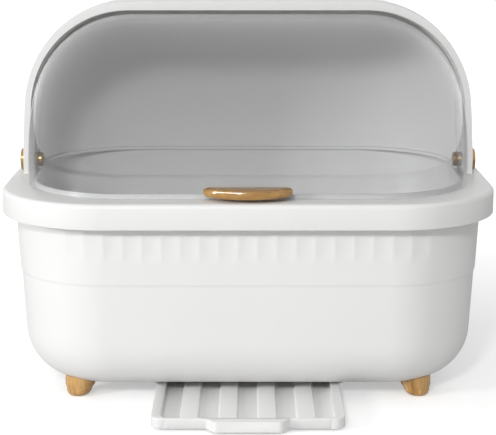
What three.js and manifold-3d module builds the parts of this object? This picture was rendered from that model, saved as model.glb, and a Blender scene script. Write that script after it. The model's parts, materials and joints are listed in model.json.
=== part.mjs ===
// A covered dish drainer. A rounded tub on four splayed feet carries a rim collar. A back cover
// sits on the collar, and a clear arched door swings up inside it about two hinge pins. Inside
// the tub are a bowl rack with a cutlery cup, a plate rack with two peg rows and a strainer,
// and a drip tray slides on rails under the tub.
//
// Millimetres, +Z up, +Y to the back. While the pieces are made, x = 0 is the middle of the
// width and y = 0 lies under the hinge line. The last lines move the whole to its own origin,
// the middle of its footprint.

import * as THREE from "three";
import { mergeVertices } from "three/addons/utils/BufferGeometryUtils.js";
import Module from "manifold-3d";

const wasm = await Module();
wasm.setup();

// Fits shared by all pieces
const seatGap = 0.3;
const overrun = 3;
const weldDistance = 0.0005;

// Rim collar
const collarWidth = 460;
const collarDepth = 338;
const collarCorner = 100;
const collarTop = 195;
const collarHeight = 23;
const collarWall = 2.8;
const collarPlate = 3;
const collarEdgeRound = 4;
const collarLedge = 2.2;
const lipHeight = 4;
const lipDrop = 6;
const lipWall = 2.5;
const lipClearance = 3;

// Tub
const tubSideSetback = 12;
const tubFrontSetback = 14;
const tubCorner = 89;
const tubDraft = 3;
const tubWall = 2.8;
const tubUnderside = 13;
const tubBottomRound = 48;
const tubStepHeight = 118;
const tubStepDepth = 0.9;
const tubStepRise = 0.8;
const tubRimReach = 6;
const tubRimThickness = 3;
const fluteCount = 19;
const flutePitch = 17.15;
const fluteDepth = 1.2;
const fluteLength = 34;
const fluteFade = 13;
const fluteHiddenLength = 5;
const rackSeatDrop = 6;
const ribWall = 2.4;
const ribReach = 20;
const frontRibShares = [0.06, 0.52];
const sideRibShares = [0.32];
const drainDiameter = 40;

// Back cover
const coverSideSetback = 11.3;
const coverRearSetback = 13;
const coverCorner = 103;
const coverWall = 2.8;
const shellDraft = 4;
const hubRadius = 14;
const flangeAhead = 20;
const flangeThickness = 3;
const flangeReach = 8;
const flangeSideReach = 6.2;
const hingeRise = 12;
const tabLength = 16;
const tabThickness = 1.8;
const tabDepth = 2.5;
const rearTabSpread = 160;

// Clear door
const doorGap = 2;
const doorWall = 2.5;
const doorFootGap = 0.5;
const doorBackReach = 5;
const lobeRadius = 11;

// Hinge hardware
const pinDiameter = 6;
const capDiameter = 22;
const capHeight = 3.8;
const capRound = 1.8;
const capSocketDepth = 1.6;
const nutDiameter = 14;
const nutHeight = 4.6;
const nutRound = 1.5;
const nutSocketDepth = 2.4;
const washerDiameter = 14;

// Door handle
const handleWidth = 80;
const handleReach = 21;
const handleThickness = 8.5;
const handleRound = 3;
const handleLift = 3;
const screwSpread = 44;
const handleScrewHead = 6.4;
const handleScrewHeadHeight = 1.4;
const handleScrewShank = 2.6;
const handleScrewDepth = 9;

// Feet
const footSideInset = 58;
const footFrontInset = 50;
const footTopDiameter = 31;
const footBottomDiameter = 24;
const footRound = 7;
const footSplay = 9.5;
const footTaperHeight = 20;
const footScrewHead = 9;
const footScrewHeadHeight = 2.4;
const footScrewShank = 4.4;
const footScrewSole = 5;
const bossDiameter = 16;
const bossHeight = 4;

// Drip tray and its rails
const trayWidth = 171;
const trayLength = 290;
const trayPullOut = 51;
const trayHeadroom = 1;
const trayHeight = 9.5;
const trayFloor = 2;
const trayWall = 2;
const trayFlangeReach = 6.5;
const trayFlangeThickness = 1.6;
const trayCorner = 9;
const trayRidgePitch = 34.7;
const trayRidgeCount = 4;
const trayRidgeTop = 15;
const trayRidgeFlank = 2;
const trayRidgeHeight = 3;
const trayRidgeEndGap = 9;
const pullWidth = 59;
const pullReach = 9;
const pullFlank = 8;
const pullThickness = 2.4;
const railLength = 195;
const railCentre = 3;
const railWall = 3;
const railLedge = 3;
const railPlay = 1;

// Strainer
const strainerFlange = 52;
const strainerThickness = 2;
const strainerSlots = 8;
const strainerSlotWidth = 3;
const strainerSlotLength = 11;
const strainerHub = 8;

// Racks
const rackPlay = 8;
const rackParting = 6;
const rackPlate = 3;
const rackRim = 8;
const rackWall = 2.5;
const rackInnerCorner = 6;
const bowlSlotWidth = 5;
const bowlSlotPitch = 16;
const bowlSlotMargin = 12;
const bowlCrossBar = 10;
const basketSideInset = 19;
const basketFrontInset = 22;
const basketCorner = 20;
const basketFootRise = 49.3;
const basketSlotWidth = 5;
const basketSlotPitch = 16;
const basketSlotMargin = 12;

// Peg rows
const pegCount = 9;
const pegPitch = 25;
const pegBase = 7;
const pegTip = 4.4;
const pegHeight = 48;
const pegRowWidth = 10;
const pegRowThickness = 3;
const pegRowSpread = 84;

// Cutlery cup
const cupWidth = 66;
const cupDepth = 70;
const cupTaper = 2.5;
const cupFootRise = 12.6;
const cupWall = 2;
const cupCorner = 12;
const cupFlange = 5;
const cupCentreX = 125;
const cupCentreY = 62;
const cupSlotWidth = 4;
const cupSlotCount = 4;

// Counts of facets
const lapSteps = 72;
const cornerSteps = 6;
const roundSteps = 4;
const smallLap = 20;
const screwLap = 8;
const fluteLap = 40;
const pegLap = 6;
const edgeSteps = 2;

// Finishes
const whitePlastic = { color: 0xf1f1ee, roughness: 0.42, metalness: 0 };
const clearPlastic = {
  color: 0xe9eef0,
  roughness: 0.06,
  metalness: 0,
  transparent: true,
  opacity: 0.25,
};
const honeyWood = { color: 0xc8893f, roughness: 0.3, metalness: 0 };
const goldMetal = { color: 0xd9a94e, roughness: 0.28, metalness: 0.9 };
const steel = { color: 0xb9bcc0, roughness: 0.35, metalness: 1 };

// Heights and half sizes that several pieces share
const collarHalfWidth = collarWidth / 2;
const collarHalfDepth = collarDepth / 2;
const collarBottom = collarTop - collarHeight;
const tubTop = collarTop - collarPlate - seatGap;
const rackSeat = tubStepHeight - rackSeatDrop;
const tubHalfWidth = collarHalfWidth - tubSideSetback;
const tubHalfDepth = collarHalfDepth - tubFrontSetback;
const hingeHeight = collarTop + hingeRise;
const coverRadius = collarHalfDepth - coverRearSetback;
const coverHalfWidth = collarHalfWidth - coverSideSetback;
const doorRadius = coverRadius - flangeReach - doorGap;
const doorHalfWidth = coverHalfWidth - flangeSideReach - doorGap;
const doorCorner = coverCorner - flangeReach;
const pinRadius = pinDiameter / 2;

const degrees = THREE.MathUtils.degToRad;
const quarter = Math.PI / 2;

// Solids from three.js geometry, and back

function solid(geometry) {
  geometry.deleteAttribute("normal");
  geometry.deleteAttribute("uv");
  const places = geometry.attributes.position.array;
  places.forEach((value, i) => {
    places[i] = Math.round(value / weldDistance) * weldDistance;
  });
  const merged = mergeVertices(geometry, weldDistance);
  const corners = merged.index.array;
  const kept = [];
  for (let i = 0; i < corners.length; i += 3) {
    const [a, b, c] = corners.slice(i, i + 3);
    if (a !== b && b !== c && c !== a) kept.push(a, b, c);
  }
  const vertProperties = merged.attributes.position.array;
  const triVerts = new Uint32Array(kept);
  return new wasm.Manifold(new wasm.Mesh({ numProp: 3, vertProperties, triVerts }));
}

function join(...solids) {
  return solids.reduce((whole, piece) => whole.add(piece));
}

function cut(body, ...tools) {
  return tools.reduce((rest, tool) => rest.subtract(tool), body);
}

function addMesh(group, name, body, finish) {
  const { vertProperties, triVerts } = body.getMesh();
  const geometry = new THREE.BufferGeometry();
  geometry.setAttribute("position", new THREE.BufferAttribute(vertProperties, 3));
  geometry.setIndex(new THREE.BufferAttribute(triVerts, 1));
  geometry.computeVertexNormals();
  const mesh = new THREE.Mesh(geometry, new THREE.MeshStandardMaterial(finish));
  mesh.name = name;
  group.add(mesh);
  return mesh;
}

// Shapes

// One closed ring of points round a rectangle with rounded corners. The corner radii are given
// from the back right corner on, against the clock as seen from above.
function ring(left, right, front, back, radii, height) {
  const [backRight, backLeft, frontLeft, frontRight] = radii;
  const corners = [
    [right - backRight, back - backRight, backRight],
    [left + backLeft, back - backLeft, backLeft],
    [left + frontLeft, front + frontLeft, frontLeft],
    [right - frontRight, front + frontRight, frontRight],
  ];
  return corners.flatMap(([x, y, radius], turn) =>
    Array.from({ length: cornerSteps + 1 }, (_, i) => {
      const angle = (turn + i / cornerSteps) * quarter;
      const across = x + radius * Math.cos(angle);
      return new THREE.Vector3(across, y + radius * Math.sin(angle), height);
    }),
  );
}

// The same ring about the middle, with four like corners.
function evenRing(halfWidth, halfDepth, radius, height) {
  const radii = Array(4).fill(radius);
  return ring(-halfWidth, halfWidth, -halfDepth, halfDepth, radii, height);
}

// A round ring of points.
function circle(x, y, radius, height) {
  return Array.from({ length: smallLap }, (_, i) => {
    const angle = (i / smallLap) * 2 * Math.PI;
    return new THREE.Vector3(
      x + radius * Math.cos(angle),
      y + radius * Math.sin(angle),
      height,
    );
  });
}

// A closed solid skinned over rings of equal counts, the lowest ring first.
function loft(rings) {
  const count = rings[0].length;
  const points = rings.flat();
  const middle = (points) =>
    points
      .reduce((sum, point) => sum.add(point), new THREE.Vector3())
      .divideScalar(count);
  const faces = [];
  for (let row = 0; row + 1 < rings.length; row++) {
    for (let i = 0; i < count; i++) {
      const here = row * count + i;
      const next = row * count + ((i + 1) % count);
      faces.push(here, next, next + count, here, next + count, here + count);
    }
  }
  const lowest = points.push(middle(rings[0])) - 1;
  const highest = points.push(middle(rings.at(-1))) - 1;
  const last = (rings.length - 1) * count;
  for (let i = 0; i < count; i++) {
    const next = (i + 1) % count;
    faces.push(lowest, next, i, highest, last + i, last + next);
  }
  return solid(new THREE.BufferGeometry().setFromPoints(points).setIndex(faces));
}

function block(left, right, front, back, bottom, top) {
  const box = new THREE.BoxGeometry(right - left, back - front, top - bottom);
  box.translate((left + right) / 2, (front + back) / 2, (bottom + top) / 2);
  return solid(box);
}

// A turned solid. The profile's points are (radius, height), from the bottom up.
function turned(profile, steps = smallLap) {
  return new THREE.LatheGeometry(profile, steps).rotateX(quarter);
}

function disc(x, y, radius, bottom, top) {
  const profile = [
    new THREE.Vector2(0, bottom),
    new THREE.Vector2(radius, bottom),
    new THREE.Vector2(radius, top),
    new THREE.Vector2(0, top),
  ];
  return solid(turned(profile).translate(x, y, 0));
}

// A round bar along x.
function crossBar(radius, from, to) {
  const bar = new THREE.CylinderGeometry(radius, radius, to - from, smallLap);
  return solid(bar.rotateZ(quarter).translate((from + to) / 2, 0, 0));
}

// A flat outline in x and y, made solid between two heights.
function prism(outline, bottom, top) {
  const shape = new THREE.Shape(outline);
  const options = { depth: top - bottom, bevelEnabled: false };
  return solid(new THREE.ExtrudeGeometry(shape, options).translate(0, 0, bottom));
}

// Arched shells about the hinge line. Here z = 0 is the height of the hinge line.

// Half of the arch, as points (distance from the hinge line, distance along it).
function archHalf(radius, halfWidth, corner) {
  const draft = degrees(shellDraft);
  const centre = radius - corner;
  const tangent = centre + corner * Math.sin(draft);
  const fall = (tangent - hubRadius) * Math.tan(draft);
  const along = halfWidth - fall - corner * Math.cos(draft);
  const points = [new THREE.Vector2(hubRadius, halfWidth)];
  for (let i = 0; i <= cornerSteps; i++) {
    const angle = draft + (i / cornerSteps) * (quarter - draft);
    const away = centre + corner * Math.sin(angle);
    points.push(new THREE.Vector2(away, along + corner * Math.cos(angle)));
  }
  return points;
}

function archLine(radius, halfWidth, corner) {
  const half = archHalf(radius, halfWidth, corner);
  const mirrored = half.map((point) => new THREE.Vector2(point.x, -point.y));
  return [...mirrored, ...half.reverse()];
}

function barrel(radius, halfWidth, corner) {
  const start = new THREE.Vector2(0, -halfWidth);
  const end = new THREE.Vector2(0, halfWidth);
  const profile = [start, ...archLine(radius, halfWidth, corner), end];
  return solid(new THREE.LatheGeometry(profile, lapSteps).rotateZ(-quarter));
}

// The arch above the hinge line, carried straight down below it.
function hood(radius, halfWidth, corner, front, bottom) {
  const far = radius + overrun;
  const wide = halfWidth + overrun;
  const arch = barrel(radius, halfWidth, corner).intersect(
    block(-wide, wide, front, far, 0, far),
  );
  const rear = archLine(radius, halfWidth, corner).map(
    (point) => new THREE.Vector2(point.y, point.x),
  );
  const ahead = [
    new THREE.Vector2(halfWidth, front),
    new THREE.Vector2(-halfWidth, front),
  ];
  return arch.add(prism([...rear, ...ahead], bottom, 0));
}

function backCover() {
  const bottom = seatGap - hingeRise;
  const below = bottom - overrun;
  const outer = hood(coverRadius, coverHalfWidth, coverCorner, -flangeAhead, bottom);
  const pocket = hood(
    coverRadius - coverWall,
    coverHalfWidth - coverWall,
    coverCorner - coverWall,
    flangeThickness - flangeAhead,
    below,
  );
  const throat = hood(
    doorRadius + doorGap,
    doorHalfWidth + doorGap,
    doorCorner + doorGap,
    -flangeAhead - overrun,
    below,
  );
  const bore = crossBar(pinRadius + seatGap, -collarHalfWidth, collarHalfWidth);
  const tabs = coverTabs(0).map((tab) => block(...tab, bottom - tabDepth, bottom));
  return join(cut(outer, pocket, throat, bore), ...tabs);
}

// The tabs under the cover, and with some play the slots they drop into: left, right, front, back.
function coverTabs(play) {
  const length = tabLength / 2 + play;
  const thickness = tabThickness / 2 + play;
  const side = coverHalfWidth - coverWall / 2;
  const rear = coverRadius - coverWall / 2;
  const sideTab = (x) => [x - thickness, x + thickness, -length, length];
  const rearTab = (x) => [x - length, x + length, rear - thickness, rear + thickness];
  return [
    sideTab(-side),
    sideTab(side),
    rearTab(-rearTabSpread / 2),
    rearTab(rearTabSpread / 2),
  ];
}

function doorShell(grow) {
  return barrel(doorRadius + grow, doorHalfWidth + grow, doorCorner + grow);
}

function door() {
  const far = doorRadius + overrun;
  const wide = doorHalfWidth + overrun;
  const foot = doorFootGap - hingeRise;
  const front = block(-wide, wide, -far, 0, foot, far);
  const back = block(-wide, wide, 0, doorBackReach, 0, far);
  const lobe = crossBar(lobeRadius, -wide, wide);
  const shell = cut(doorShell(0), doorShell(-doorWall));
  const bore = crossBar(pinRadius + seatGap, -wide, wide);
  return cut(shell.intersect(join(front, back, lobe)), bore, ...handleScrewHoles());
}

// The rest of the door's hardware

const handleMiddle = handleLift + handleThickness / 2 - hingeRise;
const handleBack = -Math.sqrt(doorRadius ** 2 - handleMiddle ** 2);
const handleScrewPlaces = [-screwSpread / 2, screwSpread / 2];

function handleScrewHoles() {
  const radius = handleScrewShank / 2 + seatGap;
  const deep = handleBack - handleScrewDepth;
  const open = handleBack + doorWall + overrun;
  return handleScrewPlaces.map((x) => {
    const hole = new THREE.CylinderGeometry(radius, radius, open - deep, screwLap);
    return solid(hole.translate(x, (open + deep) / 2, handleMiddle));
  });
}

function doorHandle() {
  const half = handleWidth / 2;
  const radius = (half ** 2 + handleReach ** 2) / (2 * handleReach);
  const low = handleLift - hingeRise;
  const high = low + handleThickness;
  const profile = [new THREE.Vector2(0, low)];
  for (let i = 0; i <= 2 * edgeSteps + 1; i++) {
    const upper = i > edgeSteps;
    const angle = ((i - (upper ? 1 : 0)) / edgeSteps - 1) * quarter;
    const centre = upper ? high - handleRound : low + handleRound;
    const out = radius - handleRound + handleRound * Math.cos(angle);
    profile.push(new THREE.Vector2(out, centre + handleRound * Math.sin(angle)));
  }
  profile.push(new THREE.Vector2(0, high));
  const forward = handleBack - handleReach + radius;
  const moon = solid(turned(profile, lapSteps).translate(0, forward, 0));
  return cut(moon, doorShell(seatGap), ...handleScrewHoles());
}

// A plain screw, its shank down and its head on top, with its seat at z = 0.
function screw(headDiameter, headHeight, shankDiameter, shankLength) {
  const head = headDiameter / 2;
  const shank = shankDiameter / 2;
  const profile = [
    new THREE.Vector2(0, -shankLength),
    new THREE.Vector2(shank, -shankLength),
    new THREE.Vector2(shank, 0),
    new THREE.Vector2(head, 0),
    new THREE.Vector2(head, headHeight / 2),
    new THREE.Vector2(head - headHeight / 2, headHeight),
    new THREE.Vector2(0, headHeight),
  ];
  return turned(profile, screwLap);
}

function handleScrew(x) {
  const seat = handleBack + doorWall + seatGap;
  const shape = screw(
    handleScrewHead,
    handleScrewHeadHeight,
    handleScrewShank,
    doorWall + handleScrewDepth - seatGap,
  );
  return solid(shape.rotateX(-quarter).translate(x, seat, handleMiddle));
}

// Hinge hardware. Each piece is turned about the hinge line, on the right for side = 1.

function onHinge(profile, side) {
  return solid(turned(profile).rotateY(side * quarter));
}

function hingeCap(side) {
  const seat = coverHalfWidth + seatGap;
  const radius = capDiameter / 2;
  const socket = pinRadius + seatGap;
  const face = seat + capHeight;
  const profile = [
    new THREE.Vector2(0, seat + capSocketDepth),
    new THREE.Vector2(socket, seat + capSocketDepth),
    new THREE.Vector2(socket, seat),
    new THREE.Vector2(radius, seat),
  ];
  for (let i = 0; i <= edgeSteps; i++) {
    const angle = (i / edgeSteps) * quarter;
    const out = radius - capRound + capRound * Math.cos(angle);
    profile.push(new THREE.Vector2(out, face - capRound + capRound * Math.sin(angle)));
  }
  profile.push(new THREE.Vector2(0, face));
  return onHinge(profile, side);
}

const nutSeat = doorHalfWidth - doorWall - seatGap;

function hingePin(side) {
  const profile = [
    new THREE.Vector2(0, nutSeat - nutSocketDepth + seatGap),
    new THREE.Vector2(pinRadius, nutSeat - nutSocketDepth + seatGap),
    new THREE.Vector2(pinRadius, coverHalfWidth + capSocketDepth),
    new THREE.Vector2(0, coverHalfWidth + capSocketDepth),
  ];
  return onHinge(profile, side);
}

function hingeWasher(side) {
  const inner = pinRadius + seatGap;
  const outer = washerDiameter / 2;
  const near = doorHalfWidth + seatGap;
  const far = coverHalfWidth - coverWall - seatGap;
  const profile = [
    new THREE.Vector2(inner, near),
    new THREE.Vector2(outer, near),
    new THREE.Vector2(outer, far),
    new THREE.Vector2(inner, far),
    new THREE.Vector2(inner, near),
  ];
  return onHinge(profile, side);
}

function hingeNut(side) {
  const radius = nutDiameter / 2;
  const socket = pinRadius + seatGap;
  const face = nutSeat - nutHeight;
  const profile = [new THREE.Vector2(0, face)];
  for (let i = 0; i <= edgeSteps; i++) {
    const angle = (i / edgeSteps) * quarter;
    const out = radius - nutRound + nutRound * Math.sin(angle);
    profile.push(new THREE.Vector2(out, face + nutRound - nutRound * Math.cos(angle)));
  }
  profile.push(
    new THREE.Vector2(radius, nutSeat),
    new THREE.Vector2(socket, nutSeat),
    new THREE.Vector2(socket, nutSeat - nutSocketDepth),
    new THREE.Vector2(0, nutSeat - nutSocketDepth),
  );
  return onHinge(profile, side);
}

// Rim collar

// The lip follows the foot of the door and ends behind the hinge pins.
function lipLine(inset) {
  const shrink = doorWall + lipClearance + inset;
  const halfWidth = doorHalfWidth - shrink;
  const front = archLine(doorRadius - shrink, halfWidth, doorCorner - shrink).map(
    ({ x: away, y: along }) => {
      const forward = Math.sqrt(Math.max(away ** 2 - hingeRise ** 2, 0));
      return new THREE.Vector2(along, -forward);
    },
  );
  const leftEnd = new THREE.Vector2(-halfWidth, hubRadius);
  return [leftEnd, ...front, new THREE.Vector2(halfWidth, hubRadius)];
}

// Behind the lip the opening runs a ledge's width inside the cover.
function ledgeLine() {
  const inset = coverWall + collarLedge;
  const line = archLine(coverRadius - inset, coverHalfWidth - inset, coverCorner - inset);
  return line.map(({ x: away, y: along }) => new THREE.Vector2(-along, away));
}

function rimCollar() {
  const round = collarEdgeRound;
  const collarRing = (inset, height) =>
    evenRing(
      collarHalfWidth - inset,
      collarHalfDepth - inset,
      collarCorner - inset,
      height,
    );
  const rings = [collarRing(0, collarBottom)];
  for (let i = 0; i <= roundSteps; i++) {
    const angle = (i / roundSteps) * quarter;
    const inset = round * (1 - Math.cos(angle));
    rings.push(collarRing(inset, collarTop - round + round * Math.sin(angle)));
  }
  const hollow = loft([
    collarRing(collarWall, collarBottom - overrun),
    collarRing(collarWall, collarTop - collarPlate),
  ]);
  const lipTop = collarTop + lipHeight;
  const lip = prism(lipLine(0), collarTop - collarPlate - lipDrop, lipTop);
  const edge = [...lipLine(lipWall), ...ledgeLine()];
  const opening = prism(edge, collarBottom - overrun, lipTop + overrun);
  const slots = coverTabs(seatGap).map((slot) =>
    block(...slot, collarTop - collarPlate - overrun, collarTop + overrun),
  );
  return cut(join(cut(loft(rings), hollow), lip), opening, ...slots);
}

// Tub

// How far the tub's outer face stands in from its size at the collar's lower edge.
function tubInset(height) {
  const step = height < tubStepHeight ? tubStepDepth : 0;
  return (collarBottom - height) * Math.tan(degrees(tubDraft)) + step;
}

function tubRing(inset, height) {
  const radius = Math.max(tubCorner - inset, tubWall);
  return evenRing(tubHalfWidth - inset, tubHalfDepth - inset, radius, height);
}

// The tub's outer form, set in by a depth all round, up to a height.
function tubForm(depth, top) {
  const floor = tubUnderside + depth;
  const round = tubBottomRound - depth;
  const roundTop = floor + round;
  const rings = [];
  for (let i = 0; i <= roundSteps; i++) {
    const angle = (i / roundSteps) * quarter;
    const inset = tubInset(roundTop) + depth + round * (1 - Math.sin(angle));
    rings.push(tubRing(inset, floor + round * (1 - Math.cos(angle))));
  }
  const below = tubStepHeight - tubStepRise;
  rings.push(tubRing(tubInset(below) + depth, below));
  rings.push(tubRing(tubInset(tubStepHeight) + depth, tubStepHeight));
  rings.push(tubRing(tubInset(top) + depth, top));
  return loft(rings);
}

// A place on the tub's front outline, at a distance along it from the middle, and the way out.
function frontPlace(distance, height) {
  const inset = tubInset(height);
  const radius = tubCorner - inset;
  const straight = tubHalfWidth - tubCorner;
  const side = Math.sign(distance);
  const past = Math.max(Math.abs(distance) - straight, 0);
  const turn = past / radius;
  const x = side * (Math.min(Math.abs(distance), straight) + radius * Math.sin(turn));
  const y = radius * (1 - Math.cos(turn)) + inset - tubHalfDepth;
  const out = new THREE.Vector3(side * Math.sin(turn), -Math.cos(turn), 0);
  return { point: new THREE.Vector3(x, y, height), out };
}

// The round cutters that scoop the flutes out of the front.
function fluteCutters() {
  const radius = ((flutePitch / 2) ** 2 + fluteDepth ** 2) / (2 * fluteDepth);
  const profile = [new THREE.Vector2(0, -fluteLength)];
  for (let i = 0; i <= edgeSteps; i++) {
    const share = 1 - i / edgeSteps;
    const out = radius - fluteDepth * share ** 2;
    profile.push(new THREE.Vector2(out, -fluteLength + fluteFade * (1 - share)));
  }
  profile.push(new THREE.Vector2(radius, fluteHiddenLength));
  profile.push(new THREE.Vector2(0, fluteHiddenLength));
  return Array.from({ length: fluteCount }, (_, i) => {
    const distance = (i - (fluteCount - 1) / 2) * flutePitch;
    const { point, out } = frontPlace(distance, collarBottom);
    const lean = new THREE.Vector3(0, 0, 1).addScaledVector(
      out,
      Math.tan(degrees(tubDraft)),
    );
    const turn = new THREE.Quaternion().setFromUnitVectors(
      new THREE.Vector3(0, 0, 1),
      lean.normalize(),
    );
    const axis = point.addScaledVector(out, radius - fluteDepth);
    const cutter = turned(profile, fluteLap).applyQuaternion(turn);
    return solid(cutter.translate(axis.x, axis.y, axis.z));
  });
}

const rackHalfWidth = tubHalfWidth - tubInset(rackSeat) - tubWall - rackPlay;
const rackHalfDepth = tubHalfDepth - tubInset(rackSeat) - tubWall - rackPlay;
const rackCorner = tubCorner - tubInset(rackSeat) - tubWall - rackPlay;

// The upright ribs inside the tub that the racks rest on.
function rackRibs() {
  const half = ribWall / 2;
  const floor = tubUnderside + tubWall / 2;
  const wallX = rackHalfWidth + rackPlay;
  const wallY = rackHalfDepth + rackPlay;
  const ribs = [];
  for (const side of [-1, 1]) {
    for (const end of [-1, 1]) {
      for (const share of frontRibShares) {
        const x = side * share * rackHalfWidth;
        const ends = [end * (wallY - ribReach), end * tubHalfDepth].sort((a, b) => a - b);
        ribs.push(block(x - half, x + half, ...ends, floor, rackSeat));
      }
      for (const share of sideRibShares) {
        const y = end * share * rackHalfDepth;
        const ends = [side * (wallX - ribReach), side * tubHalfWidth].sort(
          (a, b) => a - b,
        );
        ribs.push(block(...ends, y - half, y + half, floor, rackSeat));
      }
    }
  }
  return ribs;
}

// Feet stand at these corners: side 1 is right, end 1 is the back.
const footCorners = [
  { name: "front_left", side: -1, end: -1 },
  { name: "front_right", side: 1, end: -1 },
  { name: "rear_left", side: -1, end: 1 },
  { name: "rear_right", side: 1, end: 1 },
];

// The middle of a foot at a height over the table.
function footMiddle({ side, end }, height) {
  const shift = height * Math.tan(degrees(footSplay));
  return [
    side * (tubHalfWidth - footSideInset - shift),
    end * (tubHalfDepth - footFrontInset - shift),
  ];
}

const bossTop = tubUnderside + tubWall + bossHeight;

function footScrewPlace(corner) {
  return footMiddle(corner, tubUnderside);
}

function footScrewHole(corner) {
  const radius = footScrewShank / 2 + seatGap;
  return disc(...footScrewPlace(corner), radius, footScrewSole, bossTop + overrun);
}

function tub() {
  const rim = loft([
    tubRing(tubInset(tubTop) - tubRimReach, tubTop - tubRimThickness),
    tubRing(tubInset(tubTop) - tubRimReach, tubTop),
  ]);
  const middle = tubForm(tubWall / 2, tubTop);
  const bosses = footCorners.map((corner) =>
    disc(...footScrewPlace(corner), bossDiameter / 2, tubUnderside, bossTop),
  );
  const inside = join(...rackRibs(), ...bosses).intersect(middle);
  const hollow = tubForm(tubWall, tubTop + overrun);
  const outer = join(cut(tubForm(0, tubTop), ...fluteCutters()), rim);
  const drain = disc(0, 0, drainDiameter / 2, 0, bossTop);
  return cut(join(cut(outer, hollow), inside), drain, ...footCorners.map(footScrewHole));
}

function foot(corner) {
  const bottom = footBottomDiameter / 2;
  const growth = (footTopDiameter - footBottomDiameter) / 2 / footTaperHeight;
  const rings = [];
  for (let i = 0; i <= edgeSteps; i++) {
    const angle = (i / edgeSteps) * quarter;
    const height = footRound * (1 - Math.cos(angle));
    const radius = bottom - footRound + footRound * Math.sin(angle);
    rings.push(circle(...footMiddle(corner, height), radius, height));
  }
  const top = tubUnderside + tubBottomRound;
  rings.push(circle(...footMiddle(corner, top), bottom + growth * top, top));
  const under = tubForm(-seatGap, tubTop);
  return cut(loft(rings), under, footScrewHole(corner));
}

function footScrew(corner) {
  const seat = bossTop + seatGap;
  const shape = screw(
    footScrewHead,
    footScrewHeadHeight,
    footScrewShank,
    seat - footScrewSole - seatGap,
  );
  return solid(shape.translate(...footScrewPlace(corner), seat));
}

function drainStrainer() {
  const seat = tubUnderside + tubWall + seatGap;
  const plug = disc(0, 0, drainDiameter / 2 - seatGap, tubUnderside, seat);
  const flange = disc(0, 0, strainerFlange / 2, seat, seat + strainerThickness);
  const slots = Array.from({ length: strainerSlots }, (_, i) => {
    const tall = 2 * (seat + overrun);
    const box = new THREE.BoxGeometry(strainerSlotLength, strainerSlotWidth, tall);
    const angle = (i / strainerSlots) * 2 * Math.PI;
    const out = strainerHub / 2 + strainerSlotLength / 2;
    return solid(box.translate(out, 0, seat).rotateZ(angle));
  });
  return cut(join(plug, flange), ...slots);
}

// Racks

function bowlRack() {
  const left = -rackHalfWidth;
  const right = -rackParting / 2;
  const radii = [rackInnerCorner, rackCorner, rackCorner, rackInnerCorner];
  const rackRing = (inset, height) =>
    ring(
      left + inset,
      right - inset,
      inset - rackHalfDepth,
      rackHalfDepth - inset,
      radii.map((radius) => Math.max(radius - inset, rackWall / 2)),
      height,
    );
  const bottom = rackSeat + seatGap;
  const plateTop = bottom + rackPlate;
  const whole = loft([rackRing(0, bottom), rackRing(0, bottom + rackRim)]);
  const well = loft([
    rackRing(rackWall, plateTop),
    rackRing(rackWall, bottom + rackRim + overrun),
  ]);
  const cupHole = evenRing(
    cupWidth / 2 + seatGap,
    cupDepth / 2 + seatGap,
    cupCorner + seatGap,
    0,
  ).map((point) => point.add(new THREE.Vector3(-cupCentreX, cupCentreY, 0)));
  const hole = loft([
    cupHole.map((point) => point.clone().setZ(bottom - overrun)),
    cupHole.map((point) => point.clone().setZ(plateTop + overrun)),
  ]);
  return cut(whole, well, hole, ...bowlSlots(left, right, bottom, plateTop));
}

// Drain slots in rows across the bowl rack, clear of its round corners and of the cup.
function bowlSlots(left, right, bottom, top) {
  const cupRight = cupWidth / 2 - cupCentreX + bowlSlotMargin;
  const cupFront = cupCentreY - cupDepth / 2 - bowlSlotMargin;
  const reach = rackHalfDepth - bowlSlotMargin;
  const count = Math.floor((2 * reach) / bowlSlotPitch);
  return Array.from({ length: count }, (_, i) => {
    const y = (i - (count - 1) / 2) * bowlSlotPitch;
    const past = Math.max(Math.abs(y) - (rackHalfDepth - rackCorner), 0);
    const bow = rackCorner - Math.sqrt(rackCorner ** 2 - past ** 2);
    const start = y > cupFront ? cupRight : left + bow + bowlSlotMargin;
    const end = right - bowlSlotMargin;
    const half = bowlSlotWidth / 2;
    const middle = (start + end) / 2;
    const levels = [y - half, y + half, bottom - overrun, top + overrun];
    return join(
      block(start, middle - bowlCrossBar / 2, ...levels),
      block(middle + bowlCrossBar / 2, end, ...levels),
    );
  });
}

const basketLeft = rackParting / 2 + basketSideInset;
const basketRight = rackHalfWidth - basketSideInset;
const basketReach = rackHalfDepth - basketFrontInset;
const basketFloor = tubUnderside + basketFootRise;

function plateRack() {
  const radii = [rackCorner, rackInnerCorner, rackInnerCorner, rackCorner];
  const rackRing = (height) =>
    ring(rackParting / 2, rackHalfWidth, -rackHalfDepth, rackHalfDepth, radii, height);
  const basketRing = (inset, height) =>
    ring(
      basketLeft + inset,
      basketRight - inset,
      inset - basketReach,
      basketReach - inset,
      Array(4).fill(Math.max(basketCorner - inset, rackWall / 2)),
      height,
    );
  const top = rackSeat + seatGap + rackPlate;
  const flange = loft([rackRing(rackSeat + seatGap), rackRing(top)]);
  const basket = loft([basketRing(0, basketFloor), basketRing(0, top)]);
  const well = loft([
    basketRing(rackWall, basketFloor + rackWall),
    basketRing(rackWall, top + overrun),
  ]);
  const count = Math.floor((2 * (basketReach - basketSlotMargin)) / basketSlotPitch);
  const slots = Array.from({ length: count }, (_, i) => {
    const y = (i - (count - 1) / 2) * basketSlotPitch;
    const half = basketSlotWidth / 2;
    const start = pegRowPlace(-1) + pegRowWidth / 2 + basketSlotMargin;
    const end = pegRowPlace(1) - pegRowWidth / 2 - basketSlotMargin;
    const levels = [basketFloor - overrun, basketFloor + rackWall + overrun];
    return block(start, end, y - half, y + half, ...levels);
  });
  return cut(join(flange, basket), well, ...slots);
}

function pegRowPlace(side) {
  return (basketLeft + basketRight + side * pegRowSpread) / 2;
}

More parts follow.
